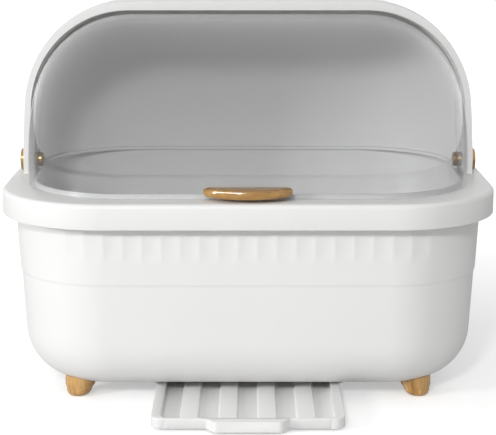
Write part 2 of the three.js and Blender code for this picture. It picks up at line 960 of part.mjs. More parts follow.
function plateRackFloor() {
  return basketFloor + rackWall + seatGap;
}

function pegRow(side) {
  const x = pegRowPlace(side);
  const bottom = plateRackFloor();
  const top = bottom + pegRowThickness;
  const reach = ((pegCount - 1) * pegPitch) / 2 + pegRowWidth / 2;
  const half = pegRowWidth / 2;
  const spine = block(x - half, x + half, -reach, reach, bottom, top);
  const tip = pegTip / 2;
  const profile = [new THREE.Vector2(0, 0), new THREE.Vector2(pegBase / 2, 0)];
  for (let i = 0; i < edgeSteps; i++) {
    const angle = (i / edgeSteps) * quarter;
    const height = pegHeight - tip + tip * Math.sin(angle);
    profile.push(new THREE.Vector2(tip * Math.cos(angle), height));
  }
  profile.push(new THREE.Vector2(0, pegHeight));
  const lift = top - pegRowThickness / 2;
  const pegs = Array.from({ length: pegCount }, (_, i) => {
    const y = (i - (pegCount - 1) / 2) * pegPitch;
    return solid(turned(profile, pegLap).translate(x, y, lift));
  });
  return join(spine, ...pegs);
}

function cutleryCup() {
  const flangeBottom = rackSeat + rackPlate + 2 * seatGap;
  const top = flangeBottom + cupWall;
  const bottom = tubUnderside + cupFootRise;
  const cupRing = (inset, height) =>
    evenRing(
      cupWidth / 2 - inset,
      cupDepth / 2 - inset,
      Math.max(cupCorner - inset, cupWall / 2),
      height,
    ).map((point) => point.add(new THREE.Vector3(-cupCentreX, cupCentreY, 0)));
  const body = loft([cupRing(cupTaper, bottom), cupRing(seatGap, flangeBottom)]);
  const flange = loft([cupRing(-cupFlange, flangeBottom), cupRing(-cupFlange, top)]);
  const well = loft([
    cupRing(cupTaper + cupWall, bottom + cupWall),
    cupRing(seatGap + cupWall, top + overrun),
  ]);
  const slots = Array.from({ length: cupSlotCount }, (_, i) => {
    const pitch = cupDepth / (cupSlotCount + 1);
    const y = cupCentreY + (i - (cupSlotCount - 1) / 2) * pitch;
    const half = cupSlotWidth / 2;
    const reach = cupWidth / 2 - cupCorner;
    return block(
      -cupCentreX - reach,
      -cupCentreX + reach,
      y - half,
      y + half,
      bottom - overrun,
      bottom + cupWall + overrun,
    );
  });
  return cut(join(body, flange), well, ...slots);
}

// Drip tray and rails

const trayTop = tubUnderside - trayHeadroom;
const trayBottom = trayTop - trayHeight;
const trayBody = trayWidth / 2 - trayFlangeReach;
const trayFront = -tubHalfDepth - trayPullOut;
const trayBack = trayFront + trayLength;

// The walls stand in from the side flanges, except for the front, which is as wide as both.
function dripTray() {
  const radii = Array(4).fill(trayCorner);
  const trayRing = (inset, height, sideInset = inset) =>
    ring(
      sideInset - trayBody,
      trayBody - sideInset,
      trayFront + inset,
      trayBack - inset,
      radii.map((radius) => Math.max(radius - inset, trayWall)),
      height,
    );
  const body = loft([trayRing(0, trayBottom), trayRing(0, trayTop)]);
  const wide = (bottom) =>
    loft([trayRing(0, bottom, -trayFlangeReach), trayRing(0, trayTop, -trayFlangeReach)]);
  const flange = wide(trayTop - trayFlangeThickness);
  const half = trayWidth / 2;
  const front = wide(trayBottom).intersect(
    block(-half, half, trayFront, trayFront + trayCorner, trayBottom, trayTop),
  );
  const well = loft([
    trayRing(trayWall, trayBottom + trayFloor),
    trayRing(trayWall, trayTop + overrun),
  ]);
  return join(cut(join(body, flange, front), well), ...trayRidges(), trayPull());
}

// The flat-topped ridges on the tray's floor, each a bar with sloping flanks.
function trayRidges() {
  const floor = trayBottom + trayFloor / 2;
  const foot = trayRidgeTop / 2 + trayRidgeFlank;
  const front = trayFront + trayWall + trayRidgeEndGap;
  const back = trayBack - trayWall - trayRidgeEndGap;
  const end = (x, inset, height) => {
    const half = foot - inset;
    return [
      new THREE.Vector3(x + half, back - inset, height),
      new THREE.Vector3(x - half, back - inset, height),
      new THREE.Vector3(x - half, front + inset, height),
      new THREE.Vector3(x + half, front + inset, height),
    ];
  };
  return Array.from({ length: trayRidgeCount }, (_, i) => {
    const x = (i - (trayRidgeCount - 1) / 2) * trayRidgePitch;
    const top = trayBottom + trayFloor + trayRidgeHeight;
    return loft([end(x, 0, floor), end(x, trayRidgeFlank, top)]);
  });
}

// The pull in the middle of the tray's front, with angled flanks and a finger hollow under it.
function trayPull() {
  const half = pullWidth / 2;
  const root = trayFront + trayWall / 2;
  const outline = (inset, front) => [
    new THREE.Vector2(-half - pullFlank + inset, root),
    new THREE.Vector2(-half + inset, front),
    new THREE.Vector2(half - inset, front),
    new THREE.Vector2(half + pullFlank - inset, root),
  ];
  const face = trayFront - pullReach;
  const body = prism(outline(0, face), trayBottom, trayTop);
  const hollow = prism(
    outline(pullThickness, face + pullThickness),
    trayBottom - overrun,
    trayTop - pullThickness,
  );
  const wall = block(
    -half - pullFlank,
    half + pullFlank,
    trayFront,
    root,
    trayBottom,
    trayTop,
  );
  return join(cut(body, hollow), wall);
}

function trayRail(side) {
  const front = railCentre - railLength / 2;
  const back = railCentre + railLength / 2;
  const top = tubUnderside - seatGap;
  const webNear = trayWidth / 2 + railPlay;
  const ledgeTop = trayTop - trayFlangeThickness - seatGap;
  const ledgeBottom = ledgeTop - railLedge;
  const ledgeNear = trayBody + railPlay;
  const far = webNear + railWall;
  const bar = (near, bottom, upper) =>
    block(
      Math.min(side * near, side * far),
      Math.max(side * near, side * far),
      front,
      back,
      bottom,
      upper,
    );
  return join(bar(webNear, ledgeBottom, top), bar(ledgeNear, ledgeBottom, ledgeTop));
}

// The whole drainer

const drainer = new THREE.Group();
const tubGroup = new THREE.Group();
const lidGroup = new THREE.Group();
const doorGroup = new THREE.Group();
lidGroup.position.z = hingeHeight;
drainer.add(tubGroup, lidGroup);
lidGroup.add(doorGroup);

addMesh(tubGroup, "tub", tub(), whitePlastic);
addMesh(tubGroup, "rim_collar", rimCollar(), whitePlastic);
for (const corner of footCorners) {
  addMesh(tubGroup, "foot_" + corner.name, foot(corner), honeyWood);
  addMesh(tubGroup, "foot_screw_" + corner.name, footScrew(corner), steel);
}
addMesh(tubGroup, "drain_strainer", drainStrainer(), whitePlastic);
addMesh(tubGroup, "bowl_rack", bowlRack(), whitePlastic);
addMesh(tubGroup, "plate_rack", plateRack(), whitePlastic);
addMesh(tubGroup, "cutlery_cup", cutleryCup(), whitePlastic);
addMesh(tubGroup, "drip_tray", dripTray(), whitePlastic);

addMesh(lidGroup, "back_cover", backCover(), whitePlastic);
addMesh(doorGroup, "door", door(), clearPlastic);
addMesh(doorGroup, "door_handle", doorHandle(), honeyWood);

for (const [name, side] of [
  ["left", -1],
  ["right", 1],
]) {
  addMesh(tubGroup, "plate_pegs_" + name, pegRow(side), whitePlastic);
  addMesh(tubGroup, "tray_rail_" + name, trayRail(side), whitePlastic);
  addMesh(lidGroup, "hinge_cap_" + name, hingeCap(side), goldMetal);
  addMesh(lidGroup, "hinge_pin_" + name, hingePin(side), steel);
  addMesh(lidGroup, "hinge_washer_" + name, hingeWasher(side), whitePlastic);
  addMesh(lidGroup, "hinge_nut_" + name, hingeNut(side), goldMetal);
  const place = (side * screwSpread) / 2;
  addMesh(doorGroup, "handle_screw_" + name, handleScrew(place), steel);
}

const frontmost = trayFront - pullReach;
drainer.position.y = -(frontmost + collarHalfDepth) / 2;

export default drainer;
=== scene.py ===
"""Covered dish drainer: the dressed model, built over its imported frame.

Lengths are in metres. The arches are turned about the hinge line, and the tub and the collar
have their middle under it.
"""

import json
import math

import bmesh
import bpy
from mathutils import Matrix, Vector


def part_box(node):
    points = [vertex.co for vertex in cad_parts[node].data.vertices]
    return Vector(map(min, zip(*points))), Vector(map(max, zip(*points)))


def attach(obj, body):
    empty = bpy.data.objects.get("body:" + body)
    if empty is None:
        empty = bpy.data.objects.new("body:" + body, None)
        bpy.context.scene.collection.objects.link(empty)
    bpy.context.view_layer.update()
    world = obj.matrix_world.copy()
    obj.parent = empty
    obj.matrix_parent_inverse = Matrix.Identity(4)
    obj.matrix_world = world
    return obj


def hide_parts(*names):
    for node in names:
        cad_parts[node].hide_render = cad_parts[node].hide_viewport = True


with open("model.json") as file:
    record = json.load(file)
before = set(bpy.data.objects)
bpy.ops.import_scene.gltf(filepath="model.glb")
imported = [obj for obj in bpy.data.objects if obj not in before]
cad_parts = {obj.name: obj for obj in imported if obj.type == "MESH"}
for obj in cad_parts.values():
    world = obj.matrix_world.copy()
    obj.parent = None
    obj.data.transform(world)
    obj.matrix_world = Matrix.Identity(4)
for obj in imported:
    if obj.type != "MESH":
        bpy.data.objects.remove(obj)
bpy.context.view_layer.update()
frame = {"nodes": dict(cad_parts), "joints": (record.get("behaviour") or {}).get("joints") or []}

RIGHT_ANGLE = math.pi / 2
FULL_TURN = 2 * math.pi
SEAT_GAP = 0.0003
WELD = 0.000002
EASE = 0.0004
ROUND_STEPS = 64
SMALL_ROUND_STEPS = 48

hinge = Vector(next(j["pos_m"] for j in frame["joints"] if j["name"] == "door_hinge"))

# Rim collar
collar_low, collar_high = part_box("rim_collar")
COLLAR_HALF_WIDTH = collar_high.x
COLLAR_HALF_DEPTH = (collar_high.y - collar_low.y) / 2
COLLAR_CORNER = 0.100
COLLAR_BOTTOM = collar_low.z
LIP_TOP = collar_high.z
COLLAR_TOP = 0.195
COLLAR_PLATE = 0.003
COLLAR_WALL = 0.0028
COLLAR_EDGE_ROUND = 0.004
COLLAR_HEM = 0.0006
LIP_DROP = 0.006
LIP_WALL = 0.0025
LIP_CLEARANCE = 0.003
COLLAR_LEDGE = 0.0022

# Tub
tub_low, tub_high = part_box("tub")
TUB_SIDE_SETBACK = 0.012
TUB_FRONT_SETBACK = 0.014
TUB_HALF_WIDTH = COLLAR_HALF_WIDTH - TUB_SIDE_SETBACK
TUB_HALF_DEPTH = COLLAR_HALF_DEPTH - TUB_FRONT_SETBACK
TUB_CORNER = 0.089
TUB_BASE = (TUB_HALF_WIDTH, TUB_HALF_DEPTH, TUB_CORNER)
TUB_TOP = tub_high.z
TUB_UNDERSIDE = tub_low.z
TUB_WALL = 0.0028
TUB_DRAFT = math.radians(3)
TUB_BOTTOM_ROUND = 0.048
TUB_STEP = 0.118
TUB_STEP_DEPTH = 0.0009
TUB_STEP_RISE = 0.0014
TUB_RIM_REACH = 0.006
TUB_RIM_THICKNESS = 0.003
TUB_ROW_HEIGHT = 0.0018
FLUTES_ON_STRAIGHT = 15
FLUTES_PER_CORNER = 8
FLUTES_EACH_SIDE = 9
FLUTE_DEPTH = 0.0007
FLUTE_FOOT = 0.138
FLUTE_FADE = 0.013
DRAIN_RADIUS = 0.020
RACK_SEAT_DROP = 0.006
RACK_SEAT = TUB_STEP - RACK_SEAT_DROP
RIB_WALL = 0.0024
RIB_REACH = 0.020
FRONT_RIB_SHARES = (0.06, 0.52)
SIDE_RIB_SHARE = 0.32
BOSS_RADIUS = 0.008
SCREW_HEAD = 0.0024

# Arched shells: back cover and clear door
SHELL_DRAFT = math.radians(4)
ARCH_STEPS = 144
ARCH_CORNER_STEPS = 16
HUB_RADIUS = 0.014
COVER_RADIUS = 0.156
COVER_HALF_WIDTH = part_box("back_cover")[1].x
COVER_CORNER = 0.103
COVER_WALL = 0.0028
COVER_EDGE = 0.0007
COVER_FOOT = COLLAR_TOP + SEAT_GAP
TAB_LENGTH = 0.016
TAB_THICKNESS = 0.0018
TAB_DEPTH = 0.0025
REAR_TAB_SPREAD = 0.160
FLANGE_AHEAD = 0.020
FLANGE_THICKNESS = 0.003
FLANGE_REACH = 0.008
FLANGE_SIDE_REACH = 0.0062
DOOR_GAP = 0.002
DOOR_RADIUS = COVER_RADIUS - FLANGE_REACH - DOOR_GAP
DOOR_HALF_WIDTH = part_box("door")[1].x
DOOR_CORNER = COVER_CORNER - FLANGE_REACH
DOOR_WALL = 0.0025
DOOR_EDGE = 0.0006
DOOR_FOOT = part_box("door")[0].z
DOOR_BACK_REACH = 0.005
LOBE_RADIUS = 0.011

# Handle and hinge hardware
HANDLE_SETBACK = 0.0003
HANDLE_ROUND = 0.0034
HANDLE_EDGE = 0.0006
HANDLE_STEPS = 192
CAP_ROUND = 0.0018
NUT_ROUND = 0.0015

# Feet
FEET = ("front_left", "front_right", "rear_left", "rear_right")
FOOT_SIDE_INSET = 0.058
FOOT_FRONT_INSET = 0.050
FOOT_TIP_RADIUS = 0.012
FOOT_TOP_RADIUS = 0.0155
FOOT_TAPER_HEIGHT = 0.020
FOOT_ROUND = 0.007
FOOT_SPLAY = math.radians(9.5)
FOOT_LEVELS = (0.010, 0.013, 0.016, 0.030)

# Drip tray
tray_low, tray_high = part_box("drip_tray")
TRAY_LENGTH = 0.290
TRAY_FLANGE_REACH = 0.0065
TRAY_FLANGE_THICKNESS = 0.0016
TRAY_WALL = 0.002
TRAY_FLOOR = 0.002
TRAY_FILLET = 0.0012
TRAY_CORNER = 0.009
TRAY_RIDGES = 4
TRAY_RIDGE_PITCH = 0.0347
TRAY_RIDGE_TOP = 0.015
TRAY_RIDGE_FLANK = 0.002
TRAY_RIDGE_HEIGHT = 0.003
TRAY_RIDGE_END_GAP = 0.009
PULL_WIDTH = 0.059
PULL_FLANK = 0.008
PULL_WALL = 0.0024
PULL_ROUND = 0.0025


# Shapes shared by several pieces


def points_of(geometry):
    return [g for g in geometry if isinstance(g, bmesh.types.BMVert)]


def edges_of(geometry):
    return [g for g in geometry if isinstance(g, bmesh.types.BMEdge)]


def grown(bm, edges):
    """Extrudes a ring or a line of edges in place and returns its new points and edges."""
    geometry = bmesh.ops.extrude_edge_only(bm, edges=edges)["geom"]
    points = points_of(geometry)
    fresh = set(points)
    return points, [edge for edge in edges_of(geometry) if set(edge.verts) <= fresh]


def arc(bm, start, centre, axis, angle, steps):
    """Turns one point about an axis and returns the arc's last point."""
    path = bmesh.ops.spin(
        bm, geom=[start], cent=centre, axis=axis, angle=angle, steps=steps
    )
    return points_of(path["geom_last"])[0]


def rounded_outline(bm, half_width, half_depth, corner, level, steps, middle=None):
    """A level rounded rectangle of edges."""
    middle = hinge.y if middle is None else middle
    before = set(bm.edges)
    arcs = []
    for turn, (side, end) in enumerate([(1, 1), (-1, 1), (-1, -1), (1, -1)]):
        x = side * (half_width - corner)
        y = middle + end * (half_depth - corner)
        centre = Vector((x, y, level))
        out = Matrix.Rotation(turn * RIGHT_ANGLE, 3, "Z") @ Vector((corner, 0, 0))
        start = bm.verts.new(centre + out)
        arcs.append((start, arc(bm, start, centre, (0, 0, 1), RIGHT_ANGLE, steps)))
    for (_, last), (start, _) in zip(arcs, arcs[1:] + arcs[:1]):
        bm.edges.new((last, start))
    return [edge for edge in bm.edges if edge not in before]


def core_point(point, base, middle=None):
    """The place inside a rounded outline that a point of it looks straight back to."""
    middle = hinge.y if middle is None else middle
    half_width, half_depth, corner = base
    wide, deep = half_width - corner, half_depth - corner
    x = max(-wide, min(wide, point.x))
    y = max(middle - deep, min(middle + deep, point.y))
    return Vector((x, y, point.z))


def drawn_on(bm, ring, base, stops, middle=None):
    """Extrudes a rounded outline through stops of (how far in, level, how much wider a side)."""
    apart = 0.0
    for inset, level, *wider in stops:
        points, ring = grown(bm, ring)
        for point in points:
            side = math.copysign(1, point.co.x)
            point.co.x -= side * apart
            core = core_point(point.co, base, middle)
            out = (point.co - core).normalized()
            point.co = core + out * (base[2] - inset)
            point.co.x += side * sum(wider)
            point.co.z = level
        apart = sum(wider)
    return ring


def quarter_round(radius, steps, start_inset, start_level, rise):
    """Stops round a quarter circle that turns inwards, upwards for rise = 1, downwards for -1."""
    stops = []
    for step in range(1, steps + 1):
        angle = step / steps * RIGHT_ANGLE
        inset = start_inset + radius * (1 - math.cos(angle))
        stops.append((inset, start_level + rise * radius * math.sin(angle)))
    return stops


def arch_section(bm, radius, half_width, corner, hub_stops):
    """The arch's section above the hinge line: drafted end walls, round corners and a crown."""
    centre_height = radius - corner
    tangent = centre_height + corner * math.sin(SHELL_DRAFT)
    fall = (tangent - HUB_RADIUS) * math.tan(SHELL_DRAFT)
    along = half_width - fall - corner * math.cos(SHELL_DRAFT)
    crown = []
    for side in (1, -1):
        chain = [
            bm.verts.new((side * half_width, 0, height))
            for height in (*hub_stops, HUB_RADIUS)
        ]
        start = (
            side * (along + corner * math.cos(SHELL_DRAFT)),
            0,
            centre_height + corner * math.sin(SHELL_DRAFT),
        )
        chain.append(bm.verts.new(start))
        for lower, upper in zip(chain, chain[1:]):
            bm.edges.new((lower, upper))
        centre = (side * along, 0, centre_height)
        turn = -side * (RIGHT_ANGLE - SHELL_DRAFT)
        crown.append(arc(bm, chain[-1], centre, (0, 1, 0), turn, ARCH_CORNER_STEPS))
    bm.edges.new(crown)


def arched_shell(radius, half_width, corner, keep, planes, hub_stops=(0.0,)):
    """The arch turned about the hinge line and cut along planes, with the faces that pass keep."""
    bm = bmesh.new()
    arch_section(bm, radius, half_width, corner, hub_stops)
    bmesh.ops.spin(
        bm,
        geom=[*bm.verts, *bm.edges],
        cent=(0, 0, 0),
        axis=(1, 0, 0),
        angle=FULL_TURN,
        steps=ARCH_STEPS,
        use_merge=True,
    )
    bmesh.ops.remove_doubles(bm, verts=bm.verts, dist=WELD)
    bmesh.ops.recalc_face_normals(bm, faces=bm.faces)
    for place, facing in planes:
        bmesh.ops.bisect_plane(
            bm,
            geom=[*bm.verts, *bm.edges, *bm.faces],
            dist=WELD,
            plane_co=place,
            plane_no=facing,
        )
    spare = [face for face in bm.faces if not keep(face.calc_center_median())]
    bmesh.ops.delete(bm, geom=spare, context="FACES")
    bmesh.ops.translate(bm, verts=bm.verts, vec=(0, hinge.y, hinge.z))
    return bm


def swept(bm, line, aside, stops):
    """Extrudes a level line, square to itself, through stops of (how far towards aside, level)."""
    for sideways, level in stops:
        points, line = grown(bm, line)
        moves = []
        for point in points:
            sides = []
            for edge in point.link_edges:
                if edge.other_vert(point) in points:
                    along = edge.other_vert(point).co - point.co
                    side = Vector((along.y, -along.x, 0)).normalized()
                    sides.append(side if side.dot(aside - point.co) > 0 else -side)
            square = (sides[0] + sides[-1]).normalized()
            moves.append((point, square * sideways / square.dot(sides[0])))
        for point, move in moves:
            point.co += move
            point.co.z = level


def open_edges(bm, test=lambda point: True):
    """The edges of a mesh with one face, both of whose ends pass a test."""
    return [
        edge
        for edge in bm.edges
        if edge.is_boundary and all(test(point.co) for point in edge.verts)
    ]


def turned(bm, profile, centre, axis, steps):
    """Turns a profile of points about an axis through a centre, all the way round."""
    points = [bm.verts.new(point) for point in profile]
    edges = [bm.edges.new(pair) for pair in zip(points, points[1:])]
    bmesh.ops.spin(
        bm,
        geom=[*points, *edges],
        cent=centre,
        axis=axis,
        angle=FULL_TURN,
        steps=steps,
        use_merge=True,
    )


def add_block(bm, across, along, upward, ease=0.0, taper=0.0):
    """A block by its reach in X, Y and Z. Its edges can be eased, and its top set in all round."""
    spans = (across, along, upward)
    cube = bmesh.ops.create_cube(bm, size=1.0)["verts"]
    for point in cube:
        above = point.co.z > 0
        point.co = Vector(
            (low + high) / 2 + share * (high - low)
            for share, (low, high) in zip(point.co, spans)
        )
        if above:
            point.co.x -= math.copysign(taper, point.co.x - sum(across) / 2)
            point.co.y -= math.copysign(taper, point.co.y - sum(along) / 2)
    if ease:
        edges = list({edge for point in cube for edge in point.link_edges})
        bmesh.ops.bevel(
            bm, geom=edges, offset=ease, segments=3, profile=0.5, affect="EDGES"
        )


# Finishes


def new_finish(name):
    """An empty material with its output and a Principled surface."""
    finish = bpy.data.materials.new(name)
    finish.use_nodes = True
    nodes = finish.node_tree.nodes
    return finish, nodes, finish.node_tree.links, nodes["Principled BSDF"]


def object_space(nodes, links, scale=(1, 1, 1), place=(0, 0, 0)):
    """Object coordinates through a Mapping node."""
    coordinates = nodes.new("ShaderNodeTexCoord")
    mapping = nodes.new("ShaderNodeMapping")
    mapping.inputs["Scale"].default_value = scale
    mapping.inputs["Location"].default_value = place
    links.new(coordinates.outputs["Object"], mapping.inputs["Vector"])
    return mapping.outputs["Vector"]


def noise(nodes, links, space, scale, detail, roughness=0.5, distortion=0.0):
    texture = nodes.new("ShaderNodeTexNoise")
    texture.inputs["Scale"].default_value = scale
    texture.inputs["Detail"].default_value = detail
    texture.inputs["Roughness"].default_value = roughness
    texture.inputs["Distortion"].default_value = distortion
    links.new(space, texture.inputs["Vector"])
    return texture.outputs["Fac"]


def ramp(nodes, links, value, stops):
    """A colour ramp with stops of (place, colour)."""
    colours = nodes.new("ShaderNodeValToRGB")
    elements = colours.color_ramp.elements
    while len(elements) < len(stops):
        elements.new(0.5)
    for element, (place, colour) in zip(elements, stops):
        element.position = place
        element.color = (*colour, 1)
    links.new(value, colours.inputs["Fac"])
    return colours.outputs["Color"]


def carried_over(nodes, links, value, start, end, low, high):
    """A value's reach from start to end carried over to low to high."""
    remap = nodes.new("ShaderNodeMapRange")
    remap.inputs["From Min"].default_value = start
    remap.inputs["From Max"].default_value = end
    remap.inputs["To Min"].default_value = low
    remap.inputs["To Max"].default_value = high
    links.new(value, remap.inputs["Value"])
    return remap.outputs["Result"]


def spread(nodes, links, texture, low, high):
    """The middle of a texture's values carried over to low to high."""
    return carried_over(nodes, links, texture, 0.3, 0.7, low, high)


def relief(nodes, links, surface, height, depth, strength):
    bump = nodes.new("ShaderNodeBump")
    bump.inputs["Distance"].default_value = depth
    bump.inputs["Strength"].default_value = strength
    links.new(height, bump.inputs["Height"])
    links.new(bump.outputs["Normal"], surface.inputs["Normal"])


PLASTIC_IOR = 1.49


def moulded_plastic(name, tint, shade, rough):
    """Satin opaque plastic with a fine mould texture and a slight drift of colour and gloss."""
    finish, nodes, links, surface = new_finish(name)
    space = object_space(nodes, links)
    drift = noise(nodes, links, space, 9.0, 3.0)
    colour = ramp(nodes, links, drift, [(0.35, shade), (0.65, tint)])
    links.new(colour, surface.inputs["Base Color"])
    grain = noise(nodes, links, space, 900.0, 3.0, 0.6)
    patches = noise(nodes, links, space, 38.0, 4.0)
    gloss = spread(nodes, links, patches, rough - 0.04, rough + 0.04)
    links.new(gloss, surface.inputs["Roughness"])
    surface.inputs["IOR"].default_value = PLASTIC_IOR
    relief(nodes, links, surface, grain, 0.00004, 0.6)
    return finish


def clear_plastic(name):
    """Clear polished plastic. Shadow rays pass through it, so the lamps reach what is behind it."""
    finish, nodes, links, surface = new_finish(name)
    # The grey of this base colour is partly the plastic's own slight tint and partly painted shade:
    # it darkens the inside of the cover seen through the door.
    surface.inputs["Base Color"].default_value = (0.745, 0.75, 0.752, 1)
    surface.inputs["Transmission Weight"].default_value = 1
    surface.inputs["IOR"].default_value = PLASTIC_IOR
    space = object_space(nodes, links)
    smears = noise(nodes, links, space, 14.0, 4.0, 0.6)
    gloss = spread(nodes, links, smears, 0.008, 0.03)
    links.new(gloss, surface.inputs["Roughness"])
    ripple = noise(nodes, links, space, 22.0, 1.0)
    relief(nodes, links, surface, ripple, 0.00006, 0.25)
    clear = nodes.new("ShaderNodeBsdfTransparent")
    clear.inputs["Color"].default_value = (0.955, 0.96, 0.962, 1)
    path = nodes.new("ShaderNodeLightPath")
    mix = nodes.new("ShaderNodeMixShader")
    links.new(path.outputs["Is Shadow Ray"], mix.inputs["Fac"])
    links.new(surface.outputs["BSDF"], mix.inputs[1])
    links.new(clear.outputs["BSDF"], mix.inputs[2])
    links.new(mix.outputs["Shader"], nodes["Material Output"].inputs["Surface"])
    return finish


def honey_wood(name, along, place, stain, rough):
    """Lacquered honey coloured wood, its grain along one axis. The stain multiplies its tones."""
    finish, nodes, links, surface = new_finish(name)
    stretch = [1.0, 1.0, 1.0]
    stretch["XYZ".index(along)] = 0.08
    space = object_space(nodes, links, scale=stretch, place=place)
    figure = noise(nodes, links, space, 120.0, 4.0, 0.55, 0.9)
    fibre = noise(nodes, links, space, 900.0, 3.0, 0.6)
    figured = nodes.new("ShaderNodeMix")
    figured.inputs["Factor"].default_value = 0.3
    links.new(figure, figured.inputs["A"])
    links.new(fibre, figured.inputs["B"])
    tones = [
        (0.36, (0.34, 0.165, 0.045)),
        (0.46, (0.52, 0.285, 0.095)),
        (0.56, (0.65, 0.385, 0.145)),
        (0.66, (0.75, 0.48, 0.2)),
    ]
    stained = [(at, [dye * part for dye, part in zip(stain, tone)]) for at, tone in tones]
    colour = ramp(nodes, links, figured.outputs["Result"], stained)
    links.new(colour, surface.inputs["Base Color"])
    gloss = spread(nodes, links, fibre, rough - 0.05, rough + 0.05)
    links.new(gloss, surface.inputs["Roughness"])
    surface.inputs["Specular IOR Level"].default_value = 0.2
    surface.inputs["Coat Weight"].default_value = 0.8
    surface.inputs["Coat Roughness"].default_value = 0.06
    relief(nodes, links, surface, fibre, 0.00003, 0.2)
    return finish


def polished_metal(name, colour, deep, rough):
    """Satin metal, brushed round its face."""
    finish, nodes, links, surface = new_finish(name)
    surface.inputs["Metallic"].default_value = 1.0
    space = object_space(nodes, links, scale=(0.15, 1, 1))
    brushing = noise(nodes, links, space, 1400.0, 3.0, 0.6)
    tone = noise(nodes, links, space, 60.0, 2.0)
    tint = ramp(nodes, links, tone, [(0.35, deep), (0.65, colour)])
    links.new(tint, surface.inputs["Base Color"])
    gloss = spread(nodes, links, brushing, rough - 0.05, rough + 0.08)
    links.new(gloss, surface.inputs["Roughness"])
    relief(nodes, links, surface, brushing, 0.00002, 0.4)
    return finish


shell_white = moulded_plastic("shell_white", (0.85, 0.85, 0.84), (0.84, 0.838, 0.83), 0.4)
rack_white = moulded_plastic("rack_white", (0.8, 0.8, 0.79), (0.785, 0.783, 0.775), 0.45)
door_clear = clear_plastic("door_clear")
handle_wood = honey_wood("handle_wood", "X", (0.03, 0, 0.01), (0.70, 0.65, 0.50), 0.22)
foot_wood = honey_wood("foot_wood", "Z", (0, 0, 0), (1.04, 1.07, 1.04), 0.35)
cap_gold = polished_metal("cap_gold", (0.50, 0.34, 0.14), (0.34, 0.21, 0.08), 0.18)
screw_steel = polished_metal("screw_steel", (0.62, 0.63, 0.65), (0.55, 0.56, 0.58), 0.3)


# Putting a piece into the scene


def finished(bm, name, body, finish, nodes, wall=0.0, edge=0.0, sharp=35):
    """Makes a mesh into a piece that rides on a body and stands for its CAD nodes."""
    bmesh.ops.remove_doubles(bm, verts=bm.verts, dist=WELD)
    bmesh.ops.recalc_face_normals(bm, faces=bm.faces)
    for face in bm.faces:
        face.smooth = True
    for line in bm.edges:
        if line.is_manifold:
            line.smooth = line.calc_face_angle() < math.radians(sharp)
    mesh = bpy.data.meshes.new(name)
    bm.to_mesh(mesh)
    bm.free()
    mesh.materials.append(finish)
    thing = bpy.data.objects.new(name, mesh)
    bpy.context.scene.collection.objects.link(thing)
    if wall:
        shell = thing.modifiers.new("wall", "SOLIDIFY")
        shell.thickness = wall
        shell.offset = -1
        shell.use_even_offset = True
    if edge:
        rounding = thing.modifiers.new("edge", "BEVEL")
        rounding.width = edge
        rounding.segments = 3
        rounding.limit_method = "ANGLE"
        rounding.angle_limit = math.radians(sharp)
        rounding.harden_normals = True
    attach(thing, body)
    if nodes:
        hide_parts(*nodes)
    return thing


def refinished(node, finish, edge=0.0):
    """Gives a CAD node that stays its finish, with its edges eased."""
    thing = frame["nodes"][node]
    thing.data.materials.clear()
    thing.data.materials.append(finish)
    if edge:
        thing.modifiers.new("weld", "WELD").merge_threshold = WELD
        rounding = thing.modifiers.new("edge", "BEVEL")
        rounding.width = edge
        rounding.segments = 2
        rounding.limit_method = "ANGLE"
        rounding.harden_normals = True


# Tub


def tub_inset(level):
    """How far the tub's wall stands in from its outline just under the collar."""
    step = TUB_STEP_DEPTH if level < TUB_STEP else 0.0
    return (COLLAR_BOTTOM - level) * math.tan(TUB_DRAFT) + step


def tub_wall_stops(depth, levels):
    """Stops down the tub's wall, round its bottom and onto its floor, at a depth in the wall."""
    stops = [(tub_inset(level) + depth, level) for level in levels]
    round_top = TUB_UNDERSIDE + TUB_BOTTOM_ROUND
    radius = TUB_BOTTOM_ROUND - depth
    stops.append((tub_inset(round_top) + depth, round_top))
    stops += quarter_round(radius, 16, tub_inset(round_top) + depth, round_top, -1)
    return stops


def step_levels(top, spacing):
    """Levels from a top down to the step and past it, closer together at the step."""
    count = round((top - TUB_STEP) / spacing)
    above = [top - (top - TUB_STEP) * row / count for row in range(count)]
    rise = TUB_STEP_RISE
    return [*above, TUB_STEP + rise / 2, TUB_STEP, TUB_STEP - rise, TUB_STEP - 2 * rise]


def scooped(point):
    """How deep the flutes are at a point of the tub's outer wall."""
    core = core_point(point, TUB_BASE)
    out = point - core
    if out.y >= 0:
        return 0.0
    straight = TUB_HALF_WIDTH - TUB_CORNER
    along = point.x / straight * FLUTES_ON_STRAIGHT / 2
    if abs(point.x) > straight:
        angle = math.atan2(abs(out.x), -out.y)
        past = angle / RIGHT_ANGLE * FLUTES_PER_CORNER
        along = math.copysign(FLUTES_ON_STRAIGHT / 2 + past, point.x)
    if abs(round(along)) > FLUTES_EACH_SIDE:
        return 0.0
    share = max(0.0, (FLUTE_FOOT + FLUTE_FADE - point.z) / FLUTE_FADE)
    off_middle = 2 * (along - round(along))
    return FLUTE_DEPTH * max(0.0, 1 - share**2) * (1 - off_middle**2)


def to_circle(bm, ring, radius, level):
    """Extrudes a ring in to a circle about the drain."""
    points, circle = grown(bm, ring)
    for point in points:
        out = Vector((point.co.x, point.co.y - hinge.y, 0)).normalized() * radius
        point.co = Vector((out.x, out.y + hinge.y, level))
    return circle


